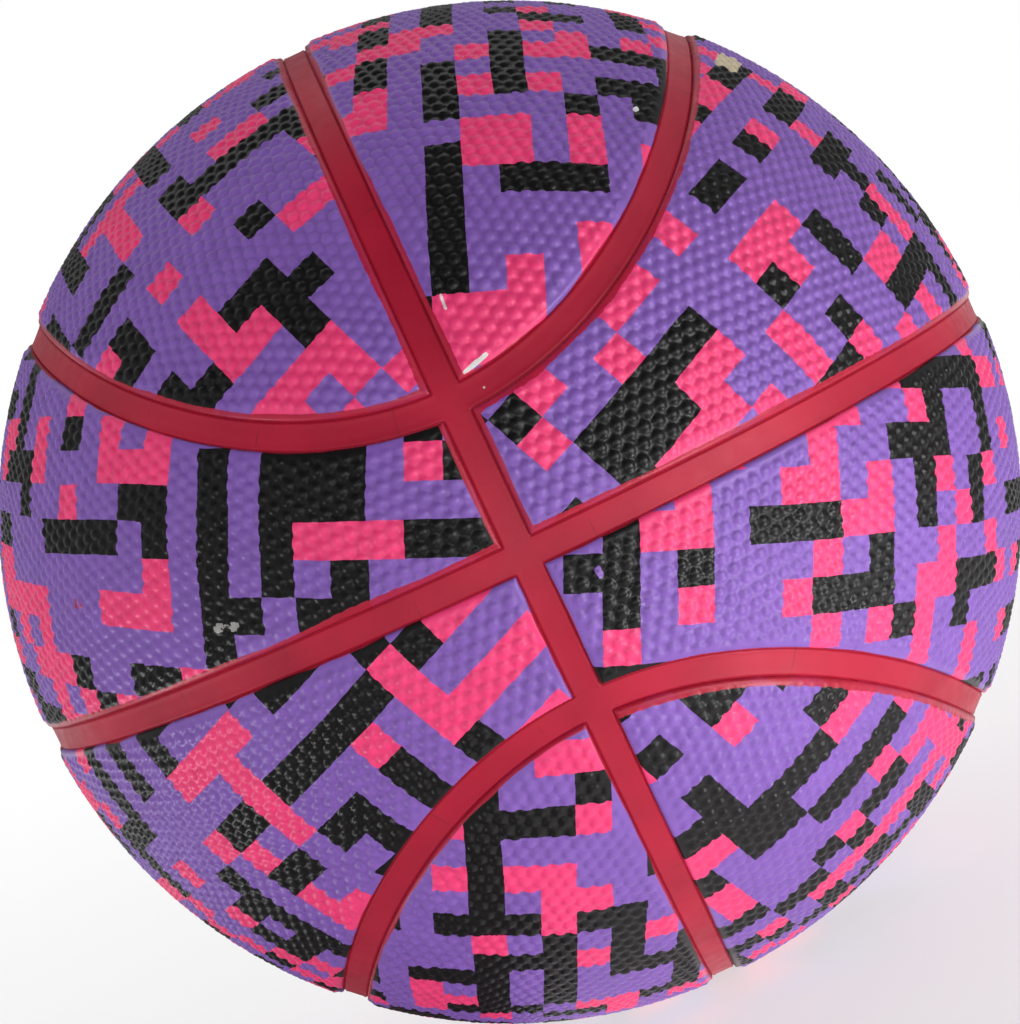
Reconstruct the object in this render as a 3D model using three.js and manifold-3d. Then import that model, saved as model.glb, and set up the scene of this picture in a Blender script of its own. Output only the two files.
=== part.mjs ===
// A full-size basketball in moulded rubber. An air-filled bladder with its valve is wound with nylon
// thread and covered by a rubber carcass. Eight panels and the coloured linings of the channels
// between them are bonded to the carcass. Millimetres, +Z up, with the origin at the ball's centre.
// The front crossing of the straight seams faces -Y, and the valve is on the far side.
import * as THREE from 'three';
import { mergeVertices } from 'three/addons/utils/BufferGeometryUtils.js';
import Module from 'manifold-3d';

const wasm = await Module();
wasm.setup();

// Overall size and the layers of the wall, from the outside in
const ballDiameter = 243;
const panelThickness = 1.4;
const carcassThickness = 0.6;
const windingThickness = 0.35;
const bladderThickness = 0.7;
const clearance = 0.3;

// Channels between the panels, the lining on their floor and a panel's rounded shoulder beside them
const channelWidth = 5.6;
const stripThickness = 0.5;
const shoulder = 0.6;

// The curved seam's height above the straight seam, in degrees: its mean, its swing from the narrow
// front to the wide side, and the fullness that squares its ends
const curveMean = 32.9;
const curveSwing = 16.1;
const curveFullness = 2.55;

// Valve: where it is, its plug with the needle's hole, and the sleeve round the plug
const valveAzimuth = 145;
const valveElevation = 16;
const valveFaceDepth = 0.6;
const needleRadius = 1;
const needleLeadIn = 0.6;
const plugStemRadius = 3;
const plugStemLength = 15;
const plugTipWall = 3;
const plugTipChamfer = 0.8;
const plugHeadOverhang = 1.5;
const plugHeadThickness = 1;
const sleeveRimWidth = 1.2;
const sleeveLength = 19;
const flangeWidth = 5;
const flangeThickness = 0.8;

// Fineness of the solids
const stepAngle = 6;
const panelRows = 7;
const shellDetail = 5;
const roundSides = 24;
const cornerSearchSteps = 40;
const smallAngle = 1e-4;
const mergeDistance = 1e-5;

// Sizes that follow from those above
const ballRadius = ballDiameter / 2;
const panelInnerRadius = ballRadius - panelThickness;
const channelFloorRadius = panelInnerRadius + stripThickness;
const stripHalfWidth = channelWidth / 2 - clearance;
const channelHalfAngle = channelWidth / 2 / ballRadius;
const stripHalfAngle = stripHalfWidth / ballRadius;
const shoulderAngle = shoulder / ballRadius;

// A flat facet dips below the sphere that its corners lie on. The two angles are the half widths of
// the widest facets: a panel's cells at its broad middle, and the layers' triangles, which come out
// widest in the middle of the icosahedron's faces.
const curveTop = curveMean + curveSwing - curveFullness;
const widestPanel = Math.max(curveTop, 90 - curveTop);
const panelFacetAngle = THREE.MathUtils.degToRad(Math.hypot(stepAngle, widestPanel / panelRows) / 2);
const icosahedronEdge = 1.0515;
const icosahedronInradius = 0.7947;
const shellFacetAngle = icosahedronEdge / icosahedronInradius / Math.sqrt(3) / (shellDetail + 1);
const carcassRadius = panelInnerRadius * Math.cos(panelFacetAngle) - clearance;
const windingRadius = carcassRadius - carcassThickness - clearance;
const bladderRadius = windingRadius - windingThickness - clearance;
const bladderInnerRadius = bladderRadius - bladderThickness;
const valveFace = ballRadius - valveFaceDepth;
const plugHeadRadius = plugStemRadius + plugHeadOverhang;
const sleeveRadius = plugHeadRadius + clearance + sleeveRimWidth;

const rubber = (name, color, roughness) =>
  new THREE.MeshStandardMaterial({ name, color, roughness, metalness: 0 });

const materials = {
  cover: () => rubber('printed_cover_rubber', '#7d57ad', 0.55),
  channel: () => rubber('red_channel_rubber', '#b02c43', 0.45),
  carcass: () => rubber('carcass_rubber', '#2b2a2c', 0.8),
  winding: () => rubber('nylon_thread', '#d8d2c2', 0.7),
  bladder: () => rubber('butyl_rubber', '#19191b', 0.5),
  valve: () => rubber('valve_rubber', '#232224', 0.6),
};

// Directions on the unit sphere, with angles in radians. An azimuth runs from the front to the right.
function direction(azimuth, elevation) {
  return new THREE.Vector3(
    Math.cos(elevation) * Math.sin(azimuth),
    -Math.cos(elevation) * Math.cos(azimuth),
    Math.sin(elevation),
  );
}

function equatorPoint(azimuth, offset) {
  return direction(azimuth, offset);
}

// The meridian starts at the front and runs over the top. An offset lies to its right.
function meridianPoint(angle, offset) {
  return new THREE.Vector3(
    Math.sin(offset),
    -Math.cos(offset) * Math.cos(angle),
    Math.cos(offset) * Math.sin(angle),
  );
}

function curveElevation(azimuth) {
  const wave = curveMean - curveSwing * Math.cos(2 * azimuth) - curveFullness * Math.cos(4 * azimuth);
  return THREE.MathUtils.degToRad(wave);
}

// A point beside the curved seam, at an offset square to it. A positive offset is towards the crown.
function curvePoint(azimuth, offset) {
  const point = direction(azimuth, curveElevation(azimuth));
  const ahead = direction(azimuth + smallAngle, curveElevation(azimuth + smallAngle));
  const behind = direction(azimuth - smallAngle, curveElevation(azimuth - smallAngle));
  const across = point.clone().cross(ahead.sub(behind)).normalize();
  return point.multiplyScalar(Math.cos(offset)).addScaledVector(across, Math.sin(offset));
}

function between(start, end, share) {
  const angle = start.angleTo(end);
  if (angle < smallAngle) {
    return start.clone();
  }
  return start.clone()
    .multiplyScalar(Math.sin((1 - share) * angle) / Math.sin(angle))
    .addScaledVector(end, Math.sin(share * angle) / Math.sin(angle));
}

// Where a line beside the curved seam reaches the edge of the meridian's channel
function curveCorner(offset, inset) {
  let low = 0;
  let high = Math.PI / 4;
  for (let i = 0; i < cornerSearchSteps; i += 1) {
    const middle = (low + high) / 2;
    if (curvePoint(middle, offset).x < Math.sin(inset)) {
      low = middle;
    } else {
      high = middle;
    }
  }
  return (low + high) / 2;
}

// Stations along half a seam, from one corner to the other. Panels and linings share them, so that
// the gap between their straight edges stays even along a curve.
function halfStations(corner) {
  const count = Math.round(180 / stepAngle);
  const stations = [corner];
  for (let i = 1; i < count; i += 1) {
    stations.push(i * Math.PI / count);
  }
  stations.push(Math.PI - corner);
  return stations;
}

function loopStations(corner) {
  const half = [0, ...halfStations(corner)];
  return [...half, ...half.map((station) => station + Math.PI)];
}

// A closed geometry with shared corners and no empty triangles, with its faces turned outwards
function closedGeometry(geometry) {
  geometry.deleteAttribute('normal');
  geometry.deleteAttribute('uv');
  const merged = mergeVertices(geometry, mergeDistance);
  const index = merged.index.array;
  const kept = [];
  for (let i = 0; i < index.length; i += 3) {
    const [a, b, c] = [index[i], index[i + 1], index[i + 2]];
    if (a !== b && b !== c && c !== a) {
      kept.push(a, b, c);
    }
  }
  merged.setIndex(kept);
  if (signedVolume(merged) < 0) {
    turnFaces(merged);
  }
  return merged;
}

function signedVolume(geometry) {
  const position = geometry.attributes.position;
  const index = geometry.index.array;
  const corner = [new THREE.Vector3(), new THREE.Vector3(), new THREE.Vector3()];
  let volume = 0;
  for (let i = 0; i < index.length; i += 3) {
    corner.forEach((point, k) => point.fromBufferAttribute(position, index[i + k]));
    volume += corner[0].dot(corner[1].clone().cross(corner[2])) / 6;
  }
  return volume;
}

function turnFaces(geometry) {
  const index = Array.from(geometry.index.array);
  for (let i = 0; i < index.length; i += 3) {
    [index[i + 1], index[i + 2]] = [index[i + 2], index[i + 1]];
  }
  geometry.setIndex(index);
}

function geometryFrom(points, index) {
  const geometry = new THREE.BufferGeometry();
  const flat = points.flatMap((point) => [point.x, point.y, point.z]);
  geometry.setAttribute('position', new THREE.Float32BufferAttribute(flat, 3));
  geometry.setIndex(index);
  return closedGeometry(geometry);
}

function toSolid(geometry) {
  return new wasm.Manifold(new wasm.Mesh({
    numProp: 3,
    vertProperties: new Float32Array(geometry.attributes.position.array),
    triVerts: new Uint32Array(geometry.index.array),
  }));
}

function fromSolid(solid) {
  const mesh = solid.getMesh();
  const geometry = new THREE.BufferGeometry();
  geometry.setAttribute('position', new THREE.BufferAttribute(mesh.vertProperties, 3));
  geometry.setIndex(new THREE.BufferAttribute(mesh.triVerts, 1));
  return closedGeometry(geometry);
}

// A panel from two grids of directions. Its face has the shoulder's inset all round, its wall drops
// from the shoulder to the carcass, and its back follows the carcass.
function panelGeometry(faceGrid, wallGrid) {
  const columns = faceGrid.length - 1;
  const rows = faceGrid[0].length - 1;
  const at = (column, row) => column * (rows + 1) + row;
  const size = (columns + 1) * (rows + 1);
  const scaled = (grid, radius) => grid.flat().map((point) => point.clone().multiplyScalar(radius));
  const points = [
    ...scaled(faceGrid, ballRadius),
    ...scaled(wallGrid, ballRadius - shoulder),
    ...scaled(wallGrid, panelInnerRadius),
  ];
  const index = [];
  for (let c = 0; c < columns; c += 1) {
    for (let r = 0; r < rows; r += 1) {
      const cell = [at(c, r), at(c + 1, r), at(c + 1, r + 1), at(c, r + 1)];
      const back = cell.map((i) => i + 2 * size);
      index.push(cell[0], cell[1], cell[2], cell[0], cell[2], cell[3]);
      index.push(back[0], back[2], back[1], back[0], back[3], back[2]);
    }
  }
  const alongRows = Array.from({ length: columns }, (_, i) => i);
  const alongEnds = Array.from({ length: rows }, (_, i) => i);
  const rim = [
    ...alongRows.map((i) => at(i, 0)),
    ...alongEnds.map((i) => at(columns, i)),
    ...alongRows.map((i) => at(columns - i, rows)),
    ...alongEnds.map((i) => at(0, rows - i)),
  ];
  rim.forEach((a, i) => {
    const b = rim[(i + 1) % rim.length];
    [0, size].forEach((ring) => {
      const next = ring + size;
      index.push(a + ring, a + next, b + next, a + ring, b + next, b + ring);
    });
  });
  return geometryFrom(points, index);
}

// Directions over a side panel, between the equator and the curved seam
function sideGrid(inset) {
  const low = halfStations(Math.asin(Math.tan(inset)));
  const high = halfStations(curveCorner(-inset, inset));
  return low.map((station, column) => gridColumn(
    equatorPoint(station, inset),
    curvePoint(high[column], -inset),
  ));
}

// Directions over a crown panel, between the curved seam and the meridian. The two lines meet at the
// panel's corners.
function crownGrid(inset) {
  const low = halfStations(curveCorner(inset, inset));
  const corner = curvePoint(low[0], inset);
  const start = Math.atan2(corner.z, -corner.y);
  return low.map((station, column) => {
    const angle = start + (Math.PI - 2 * start) * column / (low.length - 1);
    return gridColumn(curvePoint(station, inset), meridianPoint(angle, inset));
  });
}

function gridColumn(start, end) {
  return Array.from({ length: panelRows + 1 }, (_, row) => between(start, end, row / panelRows));
}

// The same piece on the other side of the meridian or the equator
function mirrored(geometry, right, upper) {
  const copy = geometry.clone();
  copy.scale(right ? 1 : -1, 1, upper ? 1 : -1);
  if (right !== upper) {
    turnFaces(copy);
  }
  return copy;
}

// A channel lining with a flat section. Each station gives the directions of its two edges.
function stripGeometry(edges, closed) {
  const points = edges.flatMap(([near, far]) => [
    near.clone().multiplyScalar(panelInnerRadius),
    far.clone().multiplyScalar(panelInnerRadius),
    far.clone().multiplyScalar(channelFloorRadius),
    near.clone().multiplyScalar(channelFloorRadius),
  ]);
  const sides = 4;
  const spans = closed ? edges.length : edges.length - 1;
  const index = [];
  for (let s = 0; s < spans; s += 1) {
    const here = s * sides;
    const next = ((s + 1) % edges.length) * sides;
    for (let k = 0; k < sides; k += 1) {
      const turn = (k + 1) % sides;
      index.push(here + k, next + k, next + turn, here + k, next + turn, here + turn);
    }
  }
  if (!closed) {
    const last = (edges.length - 1) * sides;
    index.push(0, 1, 2, 0, 2, 3);
    index.push(last, last + 2, last + 1, last, last + 3, last + 2);
  }
  return geometryFrom(points, index);
}

function stripEdges(stations, pointBeside) {
  return stations.map((station) => [
    pointBeside(station, -stripHalfAngle),
    pointBeside(station, stripHalfAngle),
  ]);
}

// A length of the meridian's lining between two angles
function meridianStrip(start, end) {
  const count = Math.ceil((end - start) / THREE.MathUtils.degToRad(stepAngle));
  const stations = Array.from({ length: count + 1 }, (_, i) => start + (end - start) * i / count);
  return stripGeometry(stripEdges(stations, meridianPoint), false);
}

const valveAxis = direction(
  THREE.MathUtils.degToRad(valveAzimuth),
  THREE.MathUtils.degToRad(valveElevation),
);
const valveTurn = new THREE.Quaternion().setFromUnitVectors(new THREE.Vector3(0, 0, 1), valveAxis);

// A round piece about +Z from its profile of [radius, height] pairs
function turned(profile) {
  const outline = profile.map(([radius, height]) => new THREE.Vector2(radius, height));
  return closedGeometry(new THREE.LatheGeometry(outline, roundSides).rotateX(Math.PI / 2));
}

// The hole that the valve's sleeve passes through, in every layer of the wall
function cutValveHole(geometry) {
  const holeRadius = sleeveRadius + clearance;
  const drill = turned([[0, 0], [holeRadius, 0], [holeRadius, ballDiameter], [0, ballDiameter]]);
  drill.applyQuaternion(valveTurn);
  return fromSolid(toSolid(geometry).subtract(toSolid(drill)));
}

function sphere(radius) {
  return closedGeometry(new THREE.IcosahedronGeometry(radius, shellDetail));
}

// A layer of the wall: a hollow sphere that opens at the valve
function layer(radius, thickness) {
  const hollow = toSolid(sphere(radius)).subtract(toSolid(sphere(radius - thickness)));
  return cutValveHole(fromSolid(hollow));
}

// The sleeve's flange lies against the inside of the bladder, and its face is sunk in the cover
function valveSeat() {
  const boreRadius = plugStemRadius + clearance;
  const headBore = plugHeadRadius + clearance;
  const headFloor = valveFace - plugHeadThickness - clearance;
  const bottom = valveFace - sleeveLength;
  const flangeRadius = sleeveRadius + flangeWidth;
  const flangeTop = bladderInnerRadius * Math.cos(shellFacetAngle) - clearance;
  const capHeight = (radius, reach) => Math.sqrt(radius * radius - reach * reach);
  const flangeUnder = flangeTop - flangeThickness;
  return turned([
    [boreRadius, bottom],
    [sleeveRadius, bottom],
    [sleeveRadius, capHeight(flangeUnder, sleeveRadius)],
    [flangeRadius, capHeight(flangeUnder, flangeRadius)],
    [flangeRadius, capHeight(flangeTop, flangeRadius)],
    [sleeveRadius, capHeight(flangeTop, sleeveRadius)],
    [sleeveRadius, valveFace],
    [headBore, valveFace],
    [headBore, headFloor],
    [boreRadius, headFloor],
    [boreRadius, bottom],
  ]);
}

// The plug's head sits in the sleeve's counterbore, flush with its face. The needle's hole ends in
// a blunt point, where the rubber closes by itself.
function valvePlug() {
  const underHead = valveFace - plugHeadThickness;
  const tip = underHead - plugStemLength;
  const holeEnd = tip + plugTipWall;
  return turned([
    [0, tip],
    [plugStemRadius - plugTipChamfer, tip],
    [plugStemRadius, tip + plugTipChamfer],
    [plugStemRadius, underHead],
    [plugHeadRadius, underHead],
    [plugHeadRadius, valveFace],
    [needleRadius + needleLeadIn, valveFace],
    [needleRadius, valveFace - needleLeadIn],
    [needleRadius, holeEnd + needleRadius],
    [0, holeEnd],
  ]);
}

const ball = new THREE.Group();

function add(parent, name, geometry, material) {
  geometry.computeVertexNormals();
  const mesh = new THREE.Mesh(geometry, material);
  mesh.name = name;
  parent.add(mesh);
}

// Inner layers
add(ball, 'bladder', layer(bladderRadius, bladderThickness), materials.bladder());
add(ball, 'nylon_winding', layer(windingRadius, windingThickness), materials.winding());
add(ball, 'carcass', layer(carcassRadius, carcassThickness), materials.carcass());

// Cover panels, by mirroring the upper right ones. The valve comes through the upper right side panel.
const faceInset = channelHalfAngle + shoulderAngle;
const sidePanel = panelGeometry(sideGrid(faceInset), sideGrid(channelHalfAngle));
const crownPanel = panelGeometry(crownGrid(faceInset), crownGrid(channelHalfAngle));
for (const upper of [true, false]) {
  for (const right of [true, false]) {
    const place = `${upper ? 'upper' : 'lower'}_${right ? 'right' : 'left'}`;
    const side = mirrored(sidePanel, right, upper);
    const hasValve = upper && right;
    add(ball, `side_panel_${place}`, hasValve ? cutValveHole(side) : side, materials.cover());
    add(ball, `crown_panel_${place}`, mirrored(crownPanel, right, upper), materials.cover());
  }
}

// Channel linings: a loop in each seam that runs through, and the meridian in lengths between them
const crossing = curveElevation(0);
const crossingCorner = curveCorner(0, channelHalfAngle);
const equatorLoop = stripEdges(loopStations(channelHalfAngle), equatorPoint);
add(ball, 'equator_strip', stripGeometry(equatorLoop, true), materials.channel());
const curveLoop = stripGeometry(stripEdges(loopStations(crossingCorner), curvePoint), true);
const frontStrip = meridianStrip(channelHalfAngle, crossing - channelHalfAngle);
const crownStrip = meridianStrip(crossing + channelHalfAngle, Math.PI - crossing - channelHalfAngle);
const backStrip = meridianStrip(Math.PI - crossing + channelHalfAngle, Math.PI - channelHalfAngle);
for (const upper of [true, false]) {
  const place = upper ? 'upper' : 'lower';
  add(ball, `curve_strip_${place}`, mirrored(curveLoop, true, upper), materials.channel());
  add(ball, `meridian_strip_front_${place}`, mirrored(frontStrip, true, upper), materials.channel());
  add(ball, `meridian_strip_crown_${place}`, mirrored(crownStrip, true, upper), materials.channel());
  add(ball, `meridian_strip_back_${place}`, mirrored(backStrip, true, upper), materials.channel());
}

// Valve
const valve = new THREE.Group();
valve.quaternion.copy(valveTurn);
add(valve, 'valve_seat', valveSeat(), materials.valve());
add(valve, 'valve_plug', valvePlug(), materials.valve());
ball.add(valve);

export default ball;
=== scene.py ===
"""Looks of a full-size rubber basketball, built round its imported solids.

Eight printed cover panels with moulded pebbles are parted by sunk channels
with a red lining, and a needle valve comes through the cover at the back.
Lengths are millimetres until a mesh is made, and metres in the studio.
"""

import logging
import math
from collections.abc import Callable, Sequence
from dataclasses import dataclass, field
from enum import Enum

import bpy
import numpy as np
from mathutils import Matrix, Vector
from mathutils.geometry import delaunay_2d_cdt


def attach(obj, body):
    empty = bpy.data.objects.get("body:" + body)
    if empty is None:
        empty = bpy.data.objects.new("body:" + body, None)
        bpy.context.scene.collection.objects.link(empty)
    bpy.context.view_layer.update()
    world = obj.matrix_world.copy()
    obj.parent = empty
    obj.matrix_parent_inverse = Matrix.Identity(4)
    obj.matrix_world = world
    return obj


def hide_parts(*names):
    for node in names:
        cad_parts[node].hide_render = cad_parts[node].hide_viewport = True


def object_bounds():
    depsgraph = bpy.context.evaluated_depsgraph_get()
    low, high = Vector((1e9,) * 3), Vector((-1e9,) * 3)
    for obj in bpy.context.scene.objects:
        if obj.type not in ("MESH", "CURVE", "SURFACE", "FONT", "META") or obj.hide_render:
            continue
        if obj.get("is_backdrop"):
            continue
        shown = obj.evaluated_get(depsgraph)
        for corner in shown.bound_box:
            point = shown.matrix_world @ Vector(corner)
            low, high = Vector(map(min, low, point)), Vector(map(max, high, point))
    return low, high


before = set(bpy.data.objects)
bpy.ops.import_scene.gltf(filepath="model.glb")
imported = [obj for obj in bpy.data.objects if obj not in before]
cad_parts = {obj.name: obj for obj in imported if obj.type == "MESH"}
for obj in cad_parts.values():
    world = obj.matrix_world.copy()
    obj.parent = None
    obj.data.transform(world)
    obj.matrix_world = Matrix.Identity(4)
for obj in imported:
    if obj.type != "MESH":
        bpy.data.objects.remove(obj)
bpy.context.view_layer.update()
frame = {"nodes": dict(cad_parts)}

LOG = logging.getLogger("basketball")
MM = 0.001
SEED = 20
VALVE_AZIMUTH = 145.0
VALVE_ELEVATION = 16.0
# The part of its range that a noise texture keeps to, as the first limits of a MapRange node
NOISE_SPAN = {1: 0.3, 2: 0.7}

Array = np.ndarray
Node = bpy.types.Node
Socket = bpy.types.NodeSocket
Material = bpy.types.Material
Object = bpy.types.Object


class Tint(Enum):
    """Colours of the rubber, paint and thread, as sRGB hex."""

    PURPLE = "#8a62bc"
    PINK = "#ff4682"
    BLACK = "#191718"
    RED = "#b81f3a"
    CARCASS = "#2a282a"
    THREAD = "#d8d2c2"
    BUTYL = "#1b1b1c"
    VALVE = "#242325"
    CHALK = "#ece8e6"
    CREAM = "#d8c8aa"
    FLOOR = "#f4f4f4"
    DARK_CARD = "#2b2b2b"
    GREY_CARD = "#969696"


class PanelKind(Enum):
    """The two outlines of cover panel."""

    SIDE = "side"
    CROWN = "crown"


class Route(Enum):
    """The lines that a channel lining can follow."""

    EQUATOR = "equator"
    CURVE = "curve"
    MERIDIAN = "meridian"


def linear(colour: Tint) -> tuple[float, float, float, float]:
    """Turn an sRGB hex colour into linear RGBA.

    Args:
        colour: The colour to turn.

    Returns:
        Red, green, blue and a full alpha.
    """
    parts = [int(colour.value[i : i + 2], 16) / 255 for i in (1, 3, 5)]
    rgb = [c / 12.92 if c <= 0.04045 else ((c + 0.055) / 1.055) ** 2.4 for c in parts]
    return rgb[0], rgb[1], rgb[2], 1.0


def per_mm(length: float) -> float:
    """Return the texture scale at which one repeat is `length` millimetres."""
    return 1 / (length * MM)


def unit(vectors: Array) -> Array:
    """Return the vectors scaled to length one."""
    return vectors / np.linalg.norm(vectors, axis=-1, keepdims=True)


def direction(azimuth: Array, elevation: Array) -> Array:
    """Point from the ball's centre at an azimuth and elevation, in radians.

    Args:
        azimuth: Angle round +Z from the front crossing, towards +X.
        elevation: Angle above the equator.

    Returns:
        Unit vectors, with x, y, z on the last axis.
    """
    level = np.cos(elevation)
    return np.stack(
        np.broadcast_arrays(
            level * np.sin(azimuth), -level * np.cos(azimuth), np.sin(elevation)
        ),
        axis=-1,
    )


def smoothstep(low: float, high: float, value: Array) -> Array:
    """Ease from 0 at `low` to 1 at `high`."""
    t = np.clip((value - low) / (high - low), 0, 1)
    return t * t * (3 - 2 * t)


def azimuth_of(points: Array) -> Array:
    """Return the angle of directions round +Z, from the front crossing."""
    return np.arctan2(points[..., 0], -points[..., 1])


def climb_of(points: Array) -> Array:
    """Return the angle of directions over the crown, from the front crossing."""
    return np.arctan2(points[..., 2], -points[..., 1])


def tangents(axis: Array) -> tuple[Array, Array]:
    """Return unit vectors to the east and north of a direction."""
    east = unit(np.cross((0, 0, 1), axis))
    return east, np.cross(axis, east)


def last_short(is_short: Callable[[Array], Array], high: Array, halvings: int = 50) -> Array:
    """Close in from 0 on the values at which a test stops holding.

    Args:
        is_short: Tells which values are still too small.
        high: Values that are large enough.
        halvings: How often the span between them is halved.

    Returns:
        The last values that are too small.
    """
    low = np.zeros_like(high)
    for _ in range(halvings):
        middle = (low + high) / 2
        short = is_short(middle)
        low, high = np.where(short, middle, low), np.where(short, high, middle)
    return low


@dataclass
class Sketch:
    """A shader's node tree while it is drawn up."""

    tree: bpy.types.NodeTree

    def add(self, kind: str, fill: dict[str | int, object] | None = None, **settings: object) -> Node:
        """Add a node, set its options and fill its sockets.

        Args:
            kind: Node type, without its ShaderNode prefix.
            fill: Value, socket or node for each input, by name or number.
            settings: Options of the node.

        Returns:
            The new node.
        """
        node = self.tree.nodes.new("ShaderNode" + kind)
        for option, value in settings.items():
            setattr(node, option, value)
        for key, value in (fill or {}).items():
            if isinstance(key, str):
                socket = next(s for s in node.inputs if s.enabled and s.name == key)
            else:
                socket = node.inputs[key]
            if isinstance(value, Node):
                value = next(s for s in value.outputs if s.enabled)
            if isinstance(value, Socket):
                self.tree.links.new(value, socket)
            else:
                socket.default_value = value
        return node


def new_material(name: str) -> tuple[Material, Sketch]:
    """Start a material with an empty node tree.

    Args:
        name: What the material is and how it is made.

    Returns:
        The material and a sketch of its tree.
    """
    material = bpy.data.materials.new(name)
    material.use_nodes = True
    material.node_tree.nodes.clear()
    return material, Sketch(material.node_tree)


@dataclass(frozen=True)
class BarLayer:
    """One scatter of bars in the print, laid over the layers before it.

    Lanes, pitch and lengths are counts of the print's cells.
    """

    ink: Tint
    upright: bool
    lanes: int
    pitch: int
    shortest: int
    longest: int
    share: float
    seed: int

    def mask(self, sketch: Sketch, x: Socket, y: Socket) -> Node:
        """Draw the layer's bars on the print's cells.

        Args:
            sketch: The print's shader.
            x: Cells along the panel.
            y: Cells across the panel.

        Returns:
            A node that is 1 on the bars and 0 elsewhere.
        """
        along, across = (y, x) if self.upright else (x, y)
        lane = sketch.add("Math", {0: across, 1: self.lanes}, operation="DIVIDE")
        row = sketch.add("Math", {0: lane}, operation="FLOOR")
        rest = sketch.add("Math", {0: lane, 1: row}, operation="SUBTRACT")
        on_row = sketch.add("Math", {0: rest, 1: 1 / self.lanes}, operation="LESS_THAN")
        row_key = sketch.add("CombineXYZ", {0: row, 1: self.seed})
        row_noise = sketch.add("TexWhiteNoise", {"Vector": row_key}, noise_dimensions="2D")
        spread = sketch.add("Math", {0: row_noise, 1: self.pitch}, operation="MULTIPLY")
        shift = sketch.add("Math", {0: spread}, operation="FLOOR")
        place = sketch.add("Math", {0: along, 1: shift}, operation="ADD")
        turns = sketch.add("Math", {0: place, 1: self.pitch}, operation="DIVIDE")
        index = sketch.add("Math", {0: turns}, operation="FLOOR")
        within = sketch.add("Math", {0: place, 1: self.pitch}, operation="FLOORED_MODULO")
        bar_key = sketch.add("CombineXYZ", {0: index, 1: row, 2: self.seed})
        bar_noise = sketch.add("TexWhiteNoise", {"Vector": bar_key}, noise_dimensions="3D")
        chance = sketch.add("SeparateColor", {0: bar_noise.outputs["Color"]})
        range_cells = self.longest - self.shortest + 1
        extra = sketch.add("Math", {0: chance.outputs[1], 1: range_cells}, operation="MULTIPLY")
        extra_cells = sketch.add("Math", {0: extra}, operation="FLOOR")
        length = sketch.add("Math", {0: extra_cells, 1: self.shortest}, operation="ADD")
        present = sketch.add("Math", {0: chance.outputs[0], 1: self.share}, operation="LESS_THAN")
        inside = sketch.add("Math", {0: within, 1: length}, operation="LESS_THAN")
        bar = sketch.add("Math", {0: present, 1: inside}, operation="MULTIPLY")
        return sketch.add("Math", {0: bar, 1: on_row}, operation="MULTIPLY")


@dataclass(frozen=True)
class Scuff:
    """A rub mark, a fleck of paint or a patch left plain on the cover.

    Its place and heading are degrees, and its length and width millimetres.
    """

    tint: Tint
    azimuth: float
    elevation: float
    heading: float
    length: float
    width: float
    strength: float
    breaks: float
    cover: float = 0.5

    SQUARENESS = 4.0
    RIM = 0.5
    FEATHER = 0.1

    def mask(self, sketch: Sketch, place: Socket, ragged: Node) -> Node:
        """Draw the mark on the ball.

        Args:
            sketch: The cover's shader.
            place: Object coordinates.
            ragged: Noise from 0 to 1 that breaks up the mark's rim.

        Returns:
            A node that is above 0 on the mark.
        """
        at = direction(np.radians(self.azimuth), np.radians(self.elevation))
        east, north = tangents(at)
        turn = math.radians(self.heading)
        along = east * math.cos(turn) + north * math.sin(turn)
        across = north * math.cos(turn) - east * math.sin(turn)
        centre = at * SeamPlan.radius * MM
        arm = sketch.add("VectorMath", {0: place, 1: tuple(centre)}, operation="SUBTRACT")
        terms = []
        for axis, size in ((along, self.length), (across, self.width), (at, self.length)):
            reach = tuple(axis * 2 / (size * MM))
            dot = sketch.add("VectorMath", {0: arm, 1: reach}, operation="DOT_PRODUCT")
            power = {0: dot.outputs["Value"], 1: self.SQUARENESS}
            terms.append(sketch.add("Math", power, operation="POWER"))
        flat = sketch.add("Math", {0: terms[0], 1: terms[1]}, operation="ADD")
        ball = sketch.add("Math", {0: flat, 1: terms[2]}, operation="ADD")
        rim = sketch.add("Math", {0: ragged, 1: self.breaks, 2: ball}, operation="MULTIPLY_ADD")
        edge = self.RIM + self.breaks * self.cover
        return sketch.add(
            "MapRange", {0: rim, 1: edge, 2: edge - self.FEATHER, 3: 0.0, 4: self.strength}, clamp=True
        )


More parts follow.
